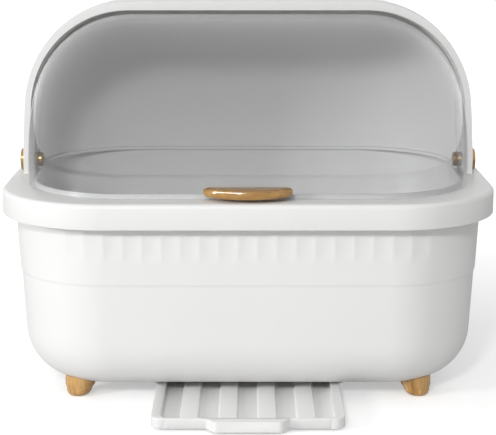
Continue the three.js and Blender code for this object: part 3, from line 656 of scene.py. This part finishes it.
def add_rib(bm, place, out):
    """An upright rib for the racks, square to the tub's wall at a place on its outline."""
    reach = tub_inset(RACK_SEAT) + TUB_WALL + RIB_REACH
    stops = tub_wall_stops(TUB_WALL / 2, [RACK_SEAT])
    side = [stop for stop in stops if stop[0] < reach]
    (near, high), (far, low) = side[-1], stops[len(side)]
    foot = high + (low - high) * (reach - near) / (far - near)
    side += [(reach, foot), (reach, RACK_SEAT)]
    across = Vector((-out.y, out.x, 0)) * RIB_WALL / 2
    points = [
        bm.verts.new(place - out * inset - across + Vector((0, 0, level)))
        for inset, level in side
    ]
    face = bm.faces.new(points)
    copy = bmesh.ops.extrude_face_region(bm, geom=[face])["geom"]
    bmesh.ops.translate(bm, verts=points_of(copy), vec=2 * across)


def add_ribs_and_bosses(bm):
    """What stands inside the tub: the racks' ribs, and the bosses that the feet are screwed to."""
    rack_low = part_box("bowl_rack")[0]
    rack_half_width, rack_half_depth = -rack_low.x, hinge.y - rack_low.y
    for side in (1, -1):
        for end in (1, -1):
            for share in FRONT_RIB_SHARES:
                x = side * share * rack_half_width
                place = Vector((x, hinge.y + end * TUB_HALF_DEPTH, 0))
                add_rib(bm, place, Vector((0, end, 0)))
            y = hinge.y + end * SIDE_RIB_SHARE * rack_half_depth
            add_rib(bm, Vector((side * TUB_HALF_WIDTH, y, 0)), Vector((side, 0, 0)))
    for name in FEET:
        low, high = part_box("foot_screw_" + name)
        top = high.z - SCREW_HEAD - SEAT_GAP
        bottom = TUB_UNDERSIDE + TUB_WALL / 2
        place = Vector(((low.x + high.x) / 2, (low.y + high.y) / 2, (top + bottom) / 2))
        bmesh.ops.create_cone(
            bm,
            cap_ends=True,
            segments=SMALL_ROUND_STEPS,
            radius1=BOSS_RADIUS,
            radius2=BOSS_RADIUS,
            depth=top - bottom,
            matrix=Matrix.Translation(place),
        )


def make_tub():
    bm = bmesh.new()
    rim = tub_inset(TUB_TOP) - TUB_RIM_REACH
    edge = TUB_RIM_THICKNESS
    start = rounded_outline(
        bm,
        TUB_HALF_WIDTH - rim,
        TUB_HALF_DEPTH - rim,
        TUB_CORNER - rim,
        TUB_TOP,
        steps=10 * FLUTES_PER_CORNER,
    )
    fronts = [
        line
        for line in start
        if line.calc_length() > TUB_CORNER
        and all(p.co.y < hinge.y - TUB_CORNER for p in line.verts)
    ]
    cuts = 12 * FLUTES_ON_STRAIGHT - 1
    bmesh.ops.subdivide_edges(bm, edges=fronts, cuts=cuts)
    start = list(bm.edges)
    levels = step_levels(TUB_TOP - edge, TUB_ROW_HEIGHT)
    outer = drawn_on(
        bm,
        start,
        TUB_BASE,
        [(rim, TUB_TOP - edge), *tub_wall_stops(0.0, levels)],
    )
    for point in bm.verts:
        if FLUTE_FOOT < point.co.z < TUB_TOP - edge / 2:
            out = (point.co - core_point(point.co, TUB_BASE)).normalized()
            point.co -= out * scooped(point.co)
    inner = drawn_on(
        bm,
        start,
        TUB_BASE,
        [
            (tub_inset(TUB_TOP) + TUB_WALL, TUB_TOP),
            *tub_wall_stops(TUB_WALL, [TUB_STEP, TUB_STEP - TUB_STEP_RISE]),
        ],
    )
    hole = [
        to_circle(bm, outer, DRAIN_RADIUS, TUB_UNDERSIDE),
        to_circle(bm, inner, DRAIN_RADIUS, TUB_UNDERSIDE + TUB_WALL),
    ]
    bmesh.ops.bridge_loops(bm, edges=hole[0] + hole[1])
    add_ribs_and_bosses(bm)
    return finished(bm, "tub_shell", "tub", shell_white, ["tub"])


# Rim collar


def tab_spans(play):
    """The reach in X and Y of the tabs under the cover, or with some play of their slots."""
    length = TAB_LENGTH / 2 + play
    thickness = TAB_THICKNESS / 2 + play
    side = COVER_HALF_WIDTH - COVER_WALL / 2
    rear = hinge.y + COVER_RADIUS - COVER_WALL / 2
    spans = []
    for end in (-1, 1):
        x = end * side
        spans.append(((x - thickness, x + thickness), (hinge.y - length, hinge.y + length)))
        x = end * REAR_TAB_SPREAD / 2
        spans.append(((x - length, x + length), (rear - thickness, rear + thickness)))
    return spans


def lip_line(bm, level):
    """A level line along the foot of the door, from one end of the lip to the other."""
    shrink = DOOR_WALL + LIP_CLEARANCE
    rise = hinge.z - COLLAR_TOP
    before = set(bm.verts)
    arch_section(
        bm, DOOR_RADIUS - shrink, DOOR_HALF_WIDTH - shrink, DOOR_CORNER - shrink, ()
    )
    points = [point for point in bm.verts if point not in before]
    for point in points:
        forward = math.sqrt(max(point.co.z**2 - rise**2, 0))
        point.co = Vector((point.co.x, hinge.y - forward, level))
    line = {edge for point in points for edge in point.link_edges}
    for point in points:
        if len(point.link_edges) == 1:
            end = bm.verts.new((point.co.x, hinge.y + HUB_RADIUS, level))
            line.add(bm.edges.new((point, end)))
    return list(line)


def ledge_line(bm, level, lip_ends):
    """A level line a ledge's width inside the cover, joined to the two ends of the lip."""
    inward = COVER_WALL + COLLAR_LEDGE
    before = set(bm.verts)
    arch_section(
        bm, COVER_RADIUS - inward, COVER_HALF_WIDTH - inward, COVER_CORNER - inward, ()
    )
    points = [point for point in bm.verts if point not in before]
    for point in points:
        point.co = Vector((point.co.x, hinge.y + point.co.z, level))
    line = {edge for point in points for edge in point.link_edges}
    for point in points:
        if len(point.link_edges) == 1:
            near = min(lip_ends, key=lambda end: (end.co - point.co).length)
            line.add(bm.edges.new((point, near)))
    return list(line)


def make_collar():
    bm = bmesh.new()
    ceiling = COLLAR_TOP - COLLAR_PLATE
    base = (COLLAR_HALF_WIDTH, COLLAR_HALF_DEPTH, COLLAR_CORNER)
    under = rounded_outline(
        bm,
        COLLAR_HALF_WIDTH - COLLAR_WALL,
        COLLAR_HALF_DEPTH - COLLAR_WALL,
        COLLAR_CORNER - COLLAR_WALL,
        ceiling,
        steps=32,
    )
    hem = COLLAR_HEM
    round_start = COLLAR_TOP - COLLAR_EDGE_ROUND
    drawn_on(
        bm,
        under,
        base,
        [
            (COLLAR_WALL, COLLAR_BOTTOM + hem),
            (COLLAR_WALL - hem, COLLAR_BOTTOM),
            (hem, COLLAR_BOTTOM),
            (hem * 0.3, COLLAR_BOTTOM + hem * 0.3),
            (0.0, COLLAR_BOTTOM + hem),
            (0.0, round_start),
            *quarter_round(COLLAR_EDGE_ROUND, 8, 0.0, round_start, 1),
        ],
    )
    lip = lip_line(bm, COLLAR_TOP)
    behind = hinge.y + HUB_RADIUS
    ends = [
        point
        for point in {p for edge in lip for p in edge.verts}
        if abs(point.co.y - behind) < WELD
    ]
    ledge = ledge_line(bm, COLLAR_TOP, ends)
    inside = Vector((0, hinge.y, COLLAR_TOP))
    swept(
        bm,
        lip,
        inside,
        [
            (0.0, LIP_TOP - 2 * EASE),
            (EASE / 2, LIP_TOP - EASE / 2),
            (3 * EASE / 2, LIP_TOP),
            (LIP_WALL - 4 * EASE, LIP_TOP),
            (3 * EASE / 2, LIP_TOP - EASE / 2),
            (EASE / 2, LIP_TOP - 2 * EASE),
            (0.0, ceiling - LIP_DROP),
            (-LIP_WALL, ceiling - LIP_DROP),
            (0.0, ceiling),
        ],
    )
    swept(bm, ledge, inside, [(0.0, ceiling)])
    for across, along in tab_spans(SEAT_GAP):
        corners = [(across[0], along[0]), (across[1], along[0])]
        corners += [(across[1], along[1]), (across[0], along[1])]
        points = [bm.verts.new((x, y, COLLAR_TOP)) for x, y in corners]
        slot = [bm.edges.new(pair) for pair in zip(points, points[1:] + points[:1])]
        for point in grown(bm, slot)[0]:
            point.co.z -= COLLAR_PLATE
    bmesh.ops.remove_doubles(bm, verts=bm.verts, dist=WELD)
    for level in (COLLAR_TOP, ceiling):
        rings = open_edges(bm, lambda point: abs(point.z - level) < WELD)
        bmesh.ops.triangle_fill(bm, edges=rings, use_beauty=True)
    bmesh.ops.holes_fill(bm, edges=open_edges(bm))
    return finished(bm, "rim_band", "tub", shell_white, ["rim_collar"])


# Back cover


def skirted(bm):
    """Carries an arch straight down from the hinge line to the collar."""
    level = open_edges(bm, lambda point: abs(point.z - hinge.z) < WELD)
    for point in grown(bm, level)[0]:
        point.co.z = COVER_FOOT


def make_cover():
    front = -FLANGE_AHEAD
    back = FLANGE_THICKNESS - FLANGE_AHEAD
    level = ((0, 0, 0), (0, 0, 1))
    shells = [
        (0.0, 0.0, [front], lambda p: p.y > front and p.z > 0),
        (COVER_WALL, COVER_WALL, [back], lambda p: p.y > back and p.z > 0),
        (
            FLANGE_REACH,
            FLANGE_SIDE_REACH,
            [front, back],
            lambda p: front < p.y < back and p.z > 0,
        ),
    ]
    whole = bmesh.new()
    for inward, sideways, cuts, keep in shells:
        planes = [((0, place, 0), (0, 1, 0)) for place in cuts] + [level]
        shell = arched_shell(
            COVER_RADIUS - inward,
            COVER_HALF_WIDTH - sideways,
            COVER_CORNER - inward,
            keep,
            planes,
        )
        skirted(shell)
        mesh = bpy.data.meshes.new("shell")
        shell.to_mesh(mesh)
        shell.free()
        whole.from_mesh(mesh)
        bpy.data.meshes.remove(mesh)
    for place in (front, back):
        lines = open_edges(whole, lambda p: abs(p.y - hinge.y - place) < WELD)
        bmesh.ops.bridge_loops(whole, edges=lines)
    foot = open_edges(whole)
    bmesh.ops.triangle_fill(whole, edges=foot, use_beauty=True)
    for across, along in tab_spans(0.0):
        add_block(whole, across, along, (COVER_FOOT - TAB_DEPTH, COVER_FOOT + SEAT_GAP))
    return finished(
        whole,
        "cover_shell",
        "lid",
        shell_white,
        ["back_cover"],
        edge=COVER_EDGE,
    )


# Clear door


def in_door(point):
    rise = DOOR_FOOT - hinge.z
    round_hinge = math.hypot(point.y, point.z) < LOBE_RADIUS
    ahead = point.y < 0 and point.z > rise
    behind = 0 <= point.y < DOOR_BACK_REACH and point.z > 0
    return round_hinge and abs(point.x) > DOOR_HALF_WIDTH / 2 or ahead or behind


def make_door():
    pin_low, pin_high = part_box("hinge_pin_right")
    bore = (pin_high.z - pin_low.z) / 2 + SEAT_GAP
    planes = [
        ((0, 0, 0), (0, 0, 1)),
        ((0, 0, 0), (0, 1, 0)),
        ((0, DOOR_BACK_REACH, 0), (0, 1, 0)),
        ((0, 0, DOOR_FOOT - hinge.z), (0, 0, 1)),
    ]
    bm = arched_shell(
        DOOR_RADIUS,
        DOOR_HALF_WIDTH,
        DOOR_CORNER,
        in_door,
        planes,
        hub_stops=(bore, LOBE_RADIUS),
    )
    return finished(
        bm,
        "door_shell",
        "door",
        door_clear,
        ["door"],
        wall=DOOR_WALL,
        edge=DOOR_EDGE,
    )


# Door handle


def make_handle():
    """A half oval from above with fully rounded edges: turned, widened and cut at its back."""
    low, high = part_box("door_handle")
    half = high.x
    reach = high.y - low.y - HANDLE_SETBACK
    ease = HANDLE_ROUND
    profile = [Vector((0, 0, low.z))]
    for level, first in ((low.z + ease, -1), (high.z - ease, 0)):
        for step in range(9):
            angle = (first + step / 8) * RIGHT_ANGLE
            out = reach - ease + ease * math.cos(angle)
            profile.append(Vector((out, 0, level + ease * math.sin(angle))))
    profile.append(Vector((0, 0, high.z)))
    bm = bmesh.new()
    turned(bm, profile, (0, 0, 0), (0, 0, 1), HANDLE_STEPS)
    bmesh.ops.remove_doubles(bm, verts=bm.verts, dist=WELD)
    bmesh.ops.scale(bm, verts=bm.verts, vec=(half / reach, 1, 1))
    bmesh.ops.translate(bm, verts=bm.verts, vec=(0, high.y, 0))
    cut = bmesh.ops.bisect_plane(
        bm,
        geom=[*bm.verts, *bm.edges, *bm.faces],
        dist=WELD,
        plane_co=(0, high.y, 0),
        plane_no=(0, 1, 0),
        clear_outer=True,
    )
    bmesh.ops.edgeloop_fill(bm, edges=edges_of(cut["geom_cut"]))
    return finished(
        bm,
        "handle_grip",
        "door",
        handle_wood,
        ["door_handle"],
        edge=HANDLE_EDGE,
        sharp=50,
    )


# Feet


def under_tub(x, y):
    """The height of the tub's underside at a place."""
    point = Vector((x, y, 0))
    inset = TUB_CORNER - (point - core_point(point, TUB_BASE)).length
    past = inset - tub_inset(TUB_UNDERSIDE + TUB_BOTTOM_ROUND)
    lean = min(1.0, max(0.0, 1 - past / TUB_BOTTOM_ROUND))
    return TUB_UNDERSIDE + TUB_BOTTOM_ROUND * (1 - math.sqrt(1 - lean**2))


def make_foot(name):
    """A splayed foot with a rounded tip, whose top follows the underside of the tub."""
    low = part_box("foot_" + name)[0]
    side = math.copysign(1, low.x)
    end = math.copysign(1, low.y - hinge.y)
    tip_x = side * (TUB_HALF_WIDTH - FOOT_SIDE_INSET)
    tip_y = hinge.y + end * (TUB_HALF_DEPTH - FOOT_FRONT_INSET)
    tip = Vector((tip_x, tip_y, 0))
    ease = FOOT_ROUND
    stops = []
    for step in range(9):
        angle = step / 8 * RIGHT_ANGLE
        radius = FOOT_TIP_RADIUS - ease + ease * math.sin(angle)
        stops.append((radius, ease * (1 - math.cos(angle))))
    widening = (FOOT_TOP_RADIUS - FOOT_TIP_RADIUS) / FOOT_TAPER_HEIGHT
    stops += [(FOOT_TIP_RADIUS + widening * height, height) for height in FOOT_LEVELS]
    bm = bmesh.new()
    tip_round = bmesh.ops.create_circle(bm, segments=ROUND_STEPS, radius=stops[0][0])
    first = tip_round["verts"]
    bmesh.ops.translate(bm, verts=first, vec=tip)
    bmesh.ops.contextual_create(bm, geom=first)
    ring = [edge for edge in bm.edges if edge.is_boundary]
    for radius, height in stops[1:]:
        points, ring = grown(bm, ring)
        middle = sum((point.co for point in points), Vector()) / len(points)
        shift = height * math.tan(FOOT_SPLAY)
        new_middle = tip - Vector((side * shift, end * shift, -height))
        for point in points:
            out = (point.co - middle).normalized()
            point.co = new_middle + out * radius
    for edge in ring:
        for point in edge.verts:
            point.co.z = under_tub(point.co.x, point.co.y) - SEAT_GAP
    bmesh.ops.contextual_create(bm, geom=ring)
    return finished(
        bm, "foot_turned_" + name, "tub", foot_wood, ["foot_" + name]
    )


# Hinge hardware


def hinge_profile(stops):
    """Points (distance from the hinge line, place along it) as a profile on the hinge line."""
    return [Vector((along, hinge.y, hinge.z + away)) for away, along in stops]


def domed(radius, seat, face, ease):
    """A round head's profile from its seat to the middle of its face."""
    rise = math.copysign(ease, face - seat)
    stops = [(0.0, seat), (radius, seat)]
    for step in range(7):
        angle = step / 6 * RIGHT_ANGLE
        stops.append(
            (
                radius - ease + ease * math.cos(angle),
                face - rise + rise * math.sin(angle),
            )
        )
    return [*stops, (0.0, face)]


def make_hinge_hardware(name, side):
    cap_low, cap_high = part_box("hinge_cap_" + name)
    nut_low, nut_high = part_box("hinge_nut_" + name)
    pin_low, pin_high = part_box("hinge_pin_" + name)
    washer_low, washer_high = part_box("hinge_washer_" + name)

    def reach(low, high):
        ends = sorted((abs(low.x), abs(high.x)))
        return [side * end for end in ends]

    cap_seat, cap_face = reach(cap_low, cap_high)
    nut_face, nut_seat = reach(nut_low, nut_high)
    washer_near, washer_far = reach(washer_low, washer_high)
    pin_near, pin_far = reach(pin_low, pin_high)
    cap_radius = (cap_high.z - cap_low.z) / 2
    nut_radius = (nut_high.z - nut_low.z) / 2
    pin_radius = (pin_high.z - pin_low.z) / 2
    washer_radius = (washer_high.z - washer_low.z) / 2
    bore = pin_radius + SEAT_GAP
    cap = domed(cap_radius, cap_seat, cap_face, CAP_ROUND)
    nut = domed(nut_radius, nut_seat, nut_face, NUT_ROUND)
    washer = [
        (bore, washer_near),
        (washer_radius - EASE, washer_near),
        (washer_radius, washer_near + side * EASE),
        (washer_radius, washer_far - side * EASE),
        (washer_radius - EASE, washer_far),
        (bore, washer_far),
        (bore, washer_near),
    ]
    pin = [(0.0, pin_near), (pin_radius, pin_near), (pin_radius, pin_far), (0.0, pin_far)]
    pieces = [
        ("hinge_cap_turned_", "hinge_cap_", cap, ROUND_STEPS, cap_gold, "gold_metal"),
        ("hinge_nut_turned_", "hinge_nut_", nut, ROUND_STEPS, cap_gold, "gold_metal"),
        ("washer_turned_", "hinge_washer_", washer, ROUND_STEPS, rack_white, "white_plastic"),
        ("pin_turned_", "hinge_pin_", pin, SMALL_ROUND_STEPS, screw_steel, "steel"),
    ]
    for piece, node, stops, steps, finish, slot in pieces:
        bm = bmesh.new()
        turned(bm, hinge_profile(stops), (0, hinge.y, hinge.z), (1, 0, 0), steps)
        finished(bm, piece + name, "lid", finish, [node + name])


# Drip tray


def add_corner_block(bm, side, front, low, high):
    """Fills a front corner of the tray between its wall and the outline of its flange."""
    reach = tray_high.x - TRAY_CORNER
    inner = reach - TRAY_FLANGE_REACH
    wall = TRAY_WALL / 2
    steps = 13
    outline = []
    for step in range(steps + 1):
        angle = step / steps * RIGHT_ANGLE
        across, ahead = math.cos(angle), math.sin(angle)
        outline.append((reach + TRAY_CORNER * across, TRAY_CORNER * (1 - ahead)))
    for step in range(steps + 1):
        angle = (1 - step / steps) * RIGHT_ANGLE
        across, ahead = math.cos(angle), math.sin(angle)
        radius = TRAY_CORNER - wall
        outline.append((inner + radius * across, TRAY_CORNER - radius * ahead))
    points = [bm.verts.new((side * x, front + y, low)) for x, y in outline]
    under = bm.faces.new(points)
    upper = bmesh.ops.extrude_face_region(bm, geom=[under])["geom"]
    bmesh.ops.translate(bm, verts=points_of(upper), vec=(0, 0, high - low))
    round_hem = [
        edge
        for edge in under.edges
        if all(abs(p.co.x) > reach or p.co.y < front + WELD for p in edge.verts)
    ]
    bmesh.ops.bevel(
        bm, geom=round_hem, offset=EASE, segments=3, profile=0.5, affect="EDGES"
    )


def add_pull(bm, front):
    """The pull before the tray's front: a wall with angled flanks, roofed over, open below."""
    half, flank = PULL_WIDTH / 2, PULL_FLANK
    root = front + TRAY_WALL / 2
    face = tray_low.y + 4 * WELD
    outer = [(-half - flank, root), (-half, face), (half, face), (half + flank, root)]
    inner = [
        (x - math.copysign(PULL_WALL, x), y if y == root else y + PULL_WALL)
        for x, y in outer
    ]
    foot, top, ceiling = tray_low.z, tray_high.z, tray_high.z - PULL_WALL
    out_low, out_high = ([bm.verts.new((x, y, z)) for x, y in outer] for z in (foot, top))
    in_low, in_high = (
        [bm.verts.new((x, y, z)) for x, y in inner] for z in (foot, ceiling)
    )
    sides = [bm.faces.new(out_high), bm.faces.new(in_high)]
    sides.append(bm.faces.new(out_low + in_low[::-1]))
    for low, high in ((out_low, out_high), (in_low, in_high)):
        for a, b in ((0, 1), (1, 2), (2, 3)):
            sides.append(bm.faces.new((low[a], low[b], high[b], high[a])))
    rear = [out_low[3], in_low[3], in_high[3], in_high[0], in_low[0], out_low[0]]
    bm.faces.new([*rear, out_high[0], out_high[3]])
    upright = [
        edge
        for a in (1, 2)
        for edge in out_low[a].link_edges
        if edge.other_vert(out_low[a]) == out_high[a]
    ]
    rounded = bmesh.ops.bevel(
        bm, geom=upright, offset=PULL_ROUND, segments=6, profile=0.5, affect="EDGES"
    )
    kept = {face for face in [*sides, *rounded["faces"]] if face.is_valid}
    hems = [
        edge
        for edge in {edge for face in kept for edge in face.edges}
        if edge.calc_face_angle(0) > RIGHT_ANGLE / 2
        and any(point.co.y < root - WELD for point in edge.verts)
    ]
    bmesh.ops.bevel(
        bm,
        geom=hems,
        offset=EASE,
        segments=2,
        profile=0.5,
        affect="EDGES",
        clamp_overlap=True,
    )


def make_tray():
    """The trough with its side flanges, the full-width front, the ridges and the pull."""
    half_width = tray_high.x - TRAY_FLANGE_REACH
    front = tray_high.y - TRAY_LENGTH
    middle = tray_high.y - TRAY_LENGTH / 2
    floor = tray_low.z + TRAY_FLOOR
    under_flange = tray_high.z - TRAY_FLANGE_THICKNESS
    base = (half_width, TRAY_LENGTH / 2, TRAY_CORNER)
    wider = TRAY_FLANGE_REACH
    fillet = TRAY_FILLET
    bm = bmesh.new()
    rim = rounded_outline(
        bm,
        half_width - TRAY_WALL,
        TRAY_LENGTH / 2 - TRAY_WALL,
        TRAY_CORNER - TRAY_WALL,
        tray_high.z - EASE,
        steps=12,
        middle=middle,
    )
    well = [
        (TRAY_WALL, floor + fillet),
        *quarter_round(fillet, 5, TRAY_WALL, floor + fillet, -1),
    ]
    shell = [
        (TRAY_WALL - EASE, tray_high.z),
        (EASE, tray_high.z, wider),
        (0.0, tray_high.z - EASE, wider),
        (0.0, under_flange, wider),
        (0.0, under_flange),
        (0.0, tray_low.z + EASE),
        (EASE, tray_low.z),
    ]
    for stops in (well, shell):
        last = drawn_on(bm, rim, base, stops, middle)
        bmesh.ops.edgeloop_fill(bm, edges=last)
    for side in (1, -1):
        add_corner_block(bm, side, front, tray_low.z, under_flange)
    ridge_half = TRAY_RIDGE_TOP / 2 + TRAY_RIDGE_FLANK
    end_gap = TRAY_WALL + TRAY_RIDGE_END_GAP
    for number in range(TRAY_RIDGES):
        x = (number - (TRAY_RIDGES - 1) / 2) * TRAY_RIDGE_PITCH
        add_block(
            bm,
            (x - ridge_half, x + ridge_half),
            (front + end_gap, tray_high.y - end_gap),
            (floor - EASE, floor + TRAY_RIDGE_HEIGHT),
            EASE,
            TRAY_RIDGE_FLANK,
        )
    add_pull(bm, front)
    return finished(
        bm, "tray_shell", "tray", shell_white, ["drip_tray"], sharp=45
    )


# The whole drainer

make_tub()
make_collar()
make_cover()
clear_door = make_door()
polished_pieces = [make_handle()]
for corner_name in FEET:
    polished_pieces.append(make_foot(corner_name))
    refinished("foot_screw_" + corner_name, screw_steel)
make_hinge_hardware("left", -1)
make_hinge_hardware("right", 1)
make_tray()
for node in ("bowl_rack", "plate_rack", "cutlery_cup", "drain_strainer"):
    refinished(node, rack_white, edge=EASE)
for name in ("left", "right"):
    refinished("plate_pegs_" + name, rack_white)
    refinished("tray_rail_" + name, shell_white, edge=EASE)
    refinished("handle_screw_" + name, screw_steel)


# Floor, lamps and camera

SKY_LOW = 0.12
SKY_HIGH = 0.66
LAMP_AIM_HEIGHT = 0.16
GLOW_REACH = (0.3, 1.1)
GLOW_STRENGTH = (0.4, 0.9)
PHOTO_LENS = 104.5
PHOTO_SENSOR = 36.0
CAMERA_PLACE = (0.0, -1.377, 0.4455)
CAMERA_TILT = math.radians(78)


def make_floor():
    """A pale floor that keeps the shadow and glows brighter away from the drainer."""
    bm = bmesh.new()
    bmesh.ops.create_grid(bm, x_segments=1, y_segments=1, size=6)
    mesh = bpy.data.meshes.new("floor")
    bm.to_mesh(mesh)
    bm.free()
    finish, nodes, links, surface = new_finish("floor_pale")
    surface.inputs["Base Color"].default_value = (0.8, 0.8, 0.8, 1)
    surface.inputs["Roughness"].default_value = 0.8
    glow = nodes.new("ShaderNodeEmission")
    glow.inputs["Color"].default_value = (1, 1, 1, 1)
    away = nodes.new("ShaderNodeVectorMath")
    away.operation = "LENGTH"
    links.new(object_space(nodes, links), away.inputs[0])
    strength = carried_over(
        nodes, links, away.outputs["Value"], *GLOW_REACH, *GLOW_STRENGTH
    )
    links.new(strength, glow.inputs["Strength"])
    both = nodes.new("ShaderNodeAddShader")
    links.new(surface.outputs["BSDF"], both.inputs[0])
    links.new(glow.outputs["Emission"], both.inputs[1])
    path = nodes.new("ShaderNodeLightPath")
    mix = nodes.new("ShaderNodeMixShader")
    links.new(path.outputs["Is Camera Ray"], mix.inputs["Fac"])
    links.new(surface.outputs["BSDF"], mix.inputs[1])
    links.new(both.outputs["Shader"], mix.inputs[2])
    links.new(mix.outputs["Shader"], nodes["Material Output"].inputs["Surface"])
    mesh.materials.append(finish)
    floor = bpy.data.objects.new("floor", mesh)
    bpy.context.scene.collection.objects.link(floor)


def make_sky(low, high):
    """Pale light from all round, stronger from above. Camera, gloss and clear plastic see white."""
    world = bpy.data.worlds.new("studio")
    bpy.context.scene.world = world
    world.use_nodes = True
    nodes, links = world.node_tree.nodes, world.node_tree.links
    light = nodes["Background"]
    light.inputs["Color"].default_value = (1, 1, 1, 1)
    direction = nodes.new("ShaderNodeTexCoord")
    parts = nodes.new("ShaderNodeSeparateXYZ")
    links.new(direction.outputs["Generated"], parts.inputs["Vector"])
    strength = carried_over(nodes, links, parts.outputs["Z"], 0, 1, low, high)
    links.new(strength, light.inputs["Strength"])
    white = nodes.new("ShaderNodeBackground")
    white.inputs["Color"].default_value = (1, 1, 1, 1)
    white.inputs["Strength"].default_value = 1.0
    path = nodes.new("ShaderNodeLightPath")
    seen = path.outputs["Is Camera Ray"]
    for other in ("Is Glossy Ray", "Is Transmission Ray"):
        either = nodes.new("ShaderNodeMath")
        either.operation = "MAXIMUM"
        links.new(seen, either.inputs[0])
        links.new(path.outputs[other], either.inputs[1])
        seen = either.outputs["Value"]
    mix = nodes.new("ShaderNodeMixShader")
    links.new(seen, mix.inputs["Fac"])
    links.new(light.outputs["Background"], mix.inputs[1])
    links.new(white.outputs["Background"], mix.inputs[2])
    links.new(mix.outputs["Shader"], nodes["World Output"].inputs["Surface"])


def make_lamp(name, place, size, power):
    """An area lamp aimed at the drainer's middle. It isn't seen through clear plastic."""
    lamp = bpy.data.lights.new(name, "AREA")
    lamp.shape = "RECTANGLE"
    lamp.size, lamp.size_y = size
    lamp.energy = power
    thing = bpy.data.objects.new(name, lamp)
    bpy.context.scene.collection.objects.link(thing)
    thing.visible_transmission = False
    thing.location = place
    aim = Vector((0.0, hinge.y, LAMP_AIM_HEIGHT)) - Vector(place)
    thing.rotation_euler = aim.to_track_quat("-Z", "Y").to_euler()
    return thing


def lamps_on(name, lamps, pieces, state):
    """Lets lamps light only these pieces, or every piece but these."""
    group = bpy.data.collections.new(name)
    for piece in pieces:
        group.objects.link(piece)
    for entry in group.collection_objects:
        entry.light_linking.link_state = state
    for lamp in lamps:
        lamp.light_linking.receiver_collection = group


def make_camera():
    """The camera that the photograph was taken with, as it was solved."""
    lens = bpy.data.cameras.new("photo_view")
    lens.lens = PHOTO_LENS
    lens.sensor_width = PHOTO_SENSOR
    lens.clip_start = 0.05
    camera = bpy.data.objects.new("photo_view", lens)
    bpy.context.scene.collection.objects.link(camera)
    camera.location = CAMERA_PLACE
    camera.rotation_euler = (CAMERA_TILT, 0, 0)
    bpy.context.scene.camera = camera


make_floor()
make_sky(SKY_LOW, SKY_HIGH)
key = make_lamp("key", (-2.34, -1.37, 0.93), (0.35, 0.35), 28.5)
fill = make_lamp("fill", (-0.54, -2.48, 1.50), (0.3, 0.3), 26)
glint = make_lamp("glint", (-0.91, -1.08, 1.61), (1.8, 0.35), 100)
glint.visible_diffuse = False
lamps_on("polished_only", [glint], polished_pieces, "INCLUDE")
lamps_on("all_but_clear", [key, fill], [clear_door], "EXCLUDE")
make_camera()
bpy.context.scene.view_settings.view_transform = "Standard"
